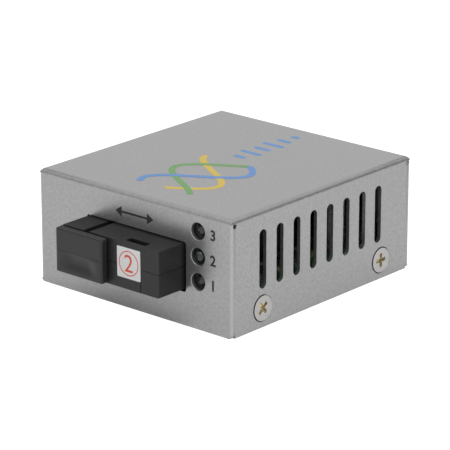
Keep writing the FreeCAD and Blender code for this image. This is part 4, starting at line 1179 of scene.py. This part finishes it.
@dataclass
class Lamp:
    """One soft studio lamp.

    Attributes:
        name: Its name.
        place: Where it hangs, in millimetres.
        size: Width of its square panel in millimetres.
        power: Its power in watts.
    """

    name: str
    place: tuple[float, float, float]
    size: float
    power: float

    def build(self) -> None:
        """Hang the lamp so that it faces the object."""
        light = bpy.data.lights.new(self.name, "AREA")
        light.shape = "SQUARE"
        light.size = self.size * MM
        light.energy = self.power
        holder = bpy.data.objects.new(self.name, light)
        bpy.context.scene.collection.objects.link(holder)
        aim_at(holder, self.place, LAMP_AIM)


def aim_at(holder: bpy.types.Object, place: tuple[float, float, float],
           target: tuple[float, float, float]) -> None:
    """Put a camera or lamp at a place and turn it to a target, both in millimetres."""
    start, end = Vector(place) * MM, Vector(target) * MM
    holder.location = start
    holder.rotation_euler = (end - start).to_track_quat("-Z", "Y").to_euler()


@dataclass
class Studio:
    """The camera, the pale floor and the soft light.

    Attributes:
        azimuth: The camera's angle round the object from its front, in degrees.
        elevation: Its angle above the floor.
        distance: Its distance from its target in millimetres.
        target: The point that it looks at.
        lens: Its focal length on a 36 mm wide sensor.
        floor_half: Half the floor's width in millimetres.
        floor_plain: The floor's colour as sRGB hex, as plain light meets it.
        floor_seen: Its colour where it is looked at, under a glow that makes it white.
        floor_mirrored: Its colour in a mirror.
        mirrored_glow: Strength of its glow there.
        sky: Strength of the even light from all round.
        wall: How bright the surroundings are in a mirror.
        card: How much darker than that the two side cards are.
        card_edges: Between which shares of a sideways direction a card's upright edge fades in.
        card_tops: Between which rises of a direction a card's top edge fades in.
        lamps: The soft lamps.
    """

    azimuth: float = 41.117
    elevation: float = 18.82
    distance: float = 559.06
    target: tuple[float, float, float] = (0.11, -0.49, 10.69)
    lens: float = 221.5
    floor_half: float = 2500.0
    floor_plain: str = "C0C0C0"
    floor_seen: str = "8C8C8C"
    floor_mirrored: str = "F2F2F2"
    mirrored_glow: float = 0.2
    sky: float = 0.7
    wall: float = 0.86
    card: float = 0.55
    card_edges: tuple[float, float] = (0.5, 0.75)
    card_tops: tuple[float, float] = (0.6, 0.35)
    lamps: tuple[Lamp, ...] = (
        Lamp("overhead_softbox", (120.0, -260.0, 560.0), 420.0, 1.05),
        Lamp("front_softbox", (-260.0, -560.0, 200.0), 420.0, 0.2),
        Lamp("right_softbox", (600.0, -100.0, 260.0), 420.0, 0.75),
    )

    def build(self) -> None:
        """Set up the camera, the floor, the lamps and the world."""
        bpy.context.scene.view_settings.view_transform = "Standard"
        self.add_camera()
        self.add_floor()
        self.add_world()
        for lamp in self.lamps:
            lamp.build()

    def add_camera(self) -> None:
        """Put the camera on its sphere round the target."""
        round_angle, lift = math.radians(self.azimuth), math.radians(self.elevation)
        away = (math.sin(round_angle) * math.cos(lift), -math.cos(round_angle) * math.cos(lift),
                math.sin(lift))
        place = tuple(point + self.distance * part for point, part in zip(self.target, away))
        camera = bpy.data.cameras.new("studio_camera")
        camera.lens = self.lens
        camera.sensor_width = 36.0
        camera.clip_start = 0.01
        camera.clip_end = 20.0
        holder = bpy.data.objects.new("studio_camera", camera)
        bpy.context.scene.collection.objects.link(holder)
        aim_at(holder, place, self.target)
        bpy.context.scene.camera = holder

    def add_floor(self) -> None:
        """Lay a wide floor that looks white but still takes the object's faint shadow."""
        half = self.floor_half * MM
        mesh = bpy.data.meshes.new("studio_floor")
        mesh.from_pydata([(-half, -half, 0), (half, -half, 0), (half, half, 0), (-half, half, 0)], [],
                         [(0, 1, 2, 3)])
        floor = bpy.data.objects.new("studio_floor", mesh)
        bpy.context.scene.collection.objects.link(floor)
        material = bpy.data.materials.new("floor_paper")
        material.use_nodes = True
        tree = material.node_tree
        tree.nodes.clear()
        plain = add_node(tree, "BsdfDiffuse", values={"Color": linear(self.floor_plain)})
        seen = add_node(tree, "BsdfDiffuse", values={"Color": linear(self.floor_seen)})
        glow = add_node(tree, "Emission", values={"Color": (1, 1, 1, 1), "Strength": 1.0})
        white = add_node(tree, "AddShader", links={0: seen.outputs[0], 1: glow.outputs[0]})
        mirrored = add_node(tree, "BsdfDiffuse", values={"Color": linear(self.floor_mirrored)})
        faint = add_node(tree, "Emission", values={"Color": (1, 1, 1, 1),
                                                   "Strength": self.mirrored_glow})
        reflected = add_node(tree, "AddShader", links={0: mirrored.outputs[0], 1: faint.outputs[0]})
        path = add_node(tree, "LightPath")
        bright = add_node(tree, "MixShader", links={
            0: path.outputs["Is Camera Ray"], 1: reflected.outputs[0], 2: white.outputs[0]})
        light = add_node(tree, "MixShader", links={
            0: self.looks(tree), 1: plain.outputs[0], 2: bright.outputs[0]})
        add_node(tree, "OutputMaterial", links={"Surface": light.outputs[0]})
        mesh.materials.append(material)

    def looks(self, tree: bpy.types.NodeTree) -> bpy.types.NodeSocket:
        """Return 1 for what the camera sees, straight or by gloss or glass, and 0 for plain light."""
        path = add_node(tree, "LightPath")
        either = add_node(tree, "Math", {"operation": "MAXIMUM"}, links={
            0: path.outputs["Is Camera Ray"], 1: path.outputs["Is Glossy Ray"]})
        return add_node(tree, "Math", {"operation": "MAXIMUM"}, links={
            0: either.outputs[0], 1: path.outputs["Is Transmission Ray"]}).outputs[0]

    def cards(self, tree: bpy.types.NodeTree) -> bpy.types.NodeSocket:
        """Return how dark the surroundings are in a mirror, for a dark card on either side.

        A direction's part along the line that joins the cards says how near it is to one of them,
        and its rise says whether it passes over the card's top edge.

        Args:
            tree: The world's node tree.

        Returns:
            A card's strength where one stands, and 0 elsewhere.
        """
        toward = add_node(tree, "TexCoord").outputs["Generated"]
        angle = math.radians(self.azimuth)
        across = add_node(tree, "VectorMath", {"operation": "DOT_PRODUCT"},
                          {1: (math.cos(angle), math.sin(angle), 0.0)}, {0: toward}).outputs["Value"]
        beside = add_node(tree, "Math", {"operation": "ABSOLUTE"}, links={0: across}).outputs[0]
        near = add_node(tree, "MapRange", values={
            "From Min": self.card_edges[0], "From Max": self.card_edges[1]},
            links={"Value": beside}).outputs[0]
        rise = add_node(tree, "SeparateXYZ", links={0: toward}).outputs["Z"]
        below = add_node(tree, "MapRange", values={
            "From Min": self.card_tops[0], "From Max": self.card_tops[1], "To Max": self.card},
            links={"Value": rise}).outputs[0]
        return add_node(tree, "Math", {"operation": "MULTIPLY"}, links={0: near, 1: below}).outputs[0]

    def add_world(self) -> None:
        """Make the surroundings white to look at and an even soft light otherwise."""
        world = bpy.data.worlds.new("studio_sky")
        world.use_nodes = True
        tree = world.node_tree
        tree.nodes.clear()
        straight = add_node(tree, "LightPath").outputs["Is Camera Ray"]
        shown = add_node(tree, "MapRange", values={"To Min": 1.0, "To Max": 0.0}, links={"Value": straight})
        dark = add_node(tree, "Math", {"operation": "MULTIPLY"},
                        links={0: self.cards(tree), 1: shown.outputs[0]}).outputs[0]
        open_wall = add_node(tree, "MapRange", values={"To Min": self.wall, "To Max": 1.0},
                             links={"Value": straight}).outputs[0]
        mirrored = add_node(tree, "Math", {"operation": "SUBTRACT"},
                            links={0: open_wall, 1: dark}).outputs[0]
        strength = add_node(tree, "MapRange", values={"To Min": self.sky},
                            links={"Value": self.looks(tree), "To Max": mirrored})
        glow = add_node(tree, "Background", values={"Color": (1, 1, 1, 1)},
                        links={"Strength": strength.outputs[0]})
        add_node(tree, "OutputWorld", links={"Surface": glow.outputs[0]})
        bpy.context.scene.world = world


def dress_inner_parts() -> None:
    """Give every solid that stays its own finish."""
    for node, finish in NODE_FINISHES.items():
        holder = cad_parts[node]
        holder.data.materials.clear()
        holder.data.materials.append(finish.build())
        log.info("%s: %s", node, finish.name)


def main() -> None:
    """Build the studio, dress the inner parts and build every sub-assembly, logging each piece's faces."""
    logging.basicConfig(level=logging.INFO, format="%(message)s")
    Studio().build()
    dress_inner_parts()
    for assembly in (FoldedCase(), Transceiver(), Sticker(), DustPlug(), StatusLamps(), RearJacks(),
                     FrontPrint(), TopPrint()):
        assembly.build()


if __name__ == "__main__":
    main()
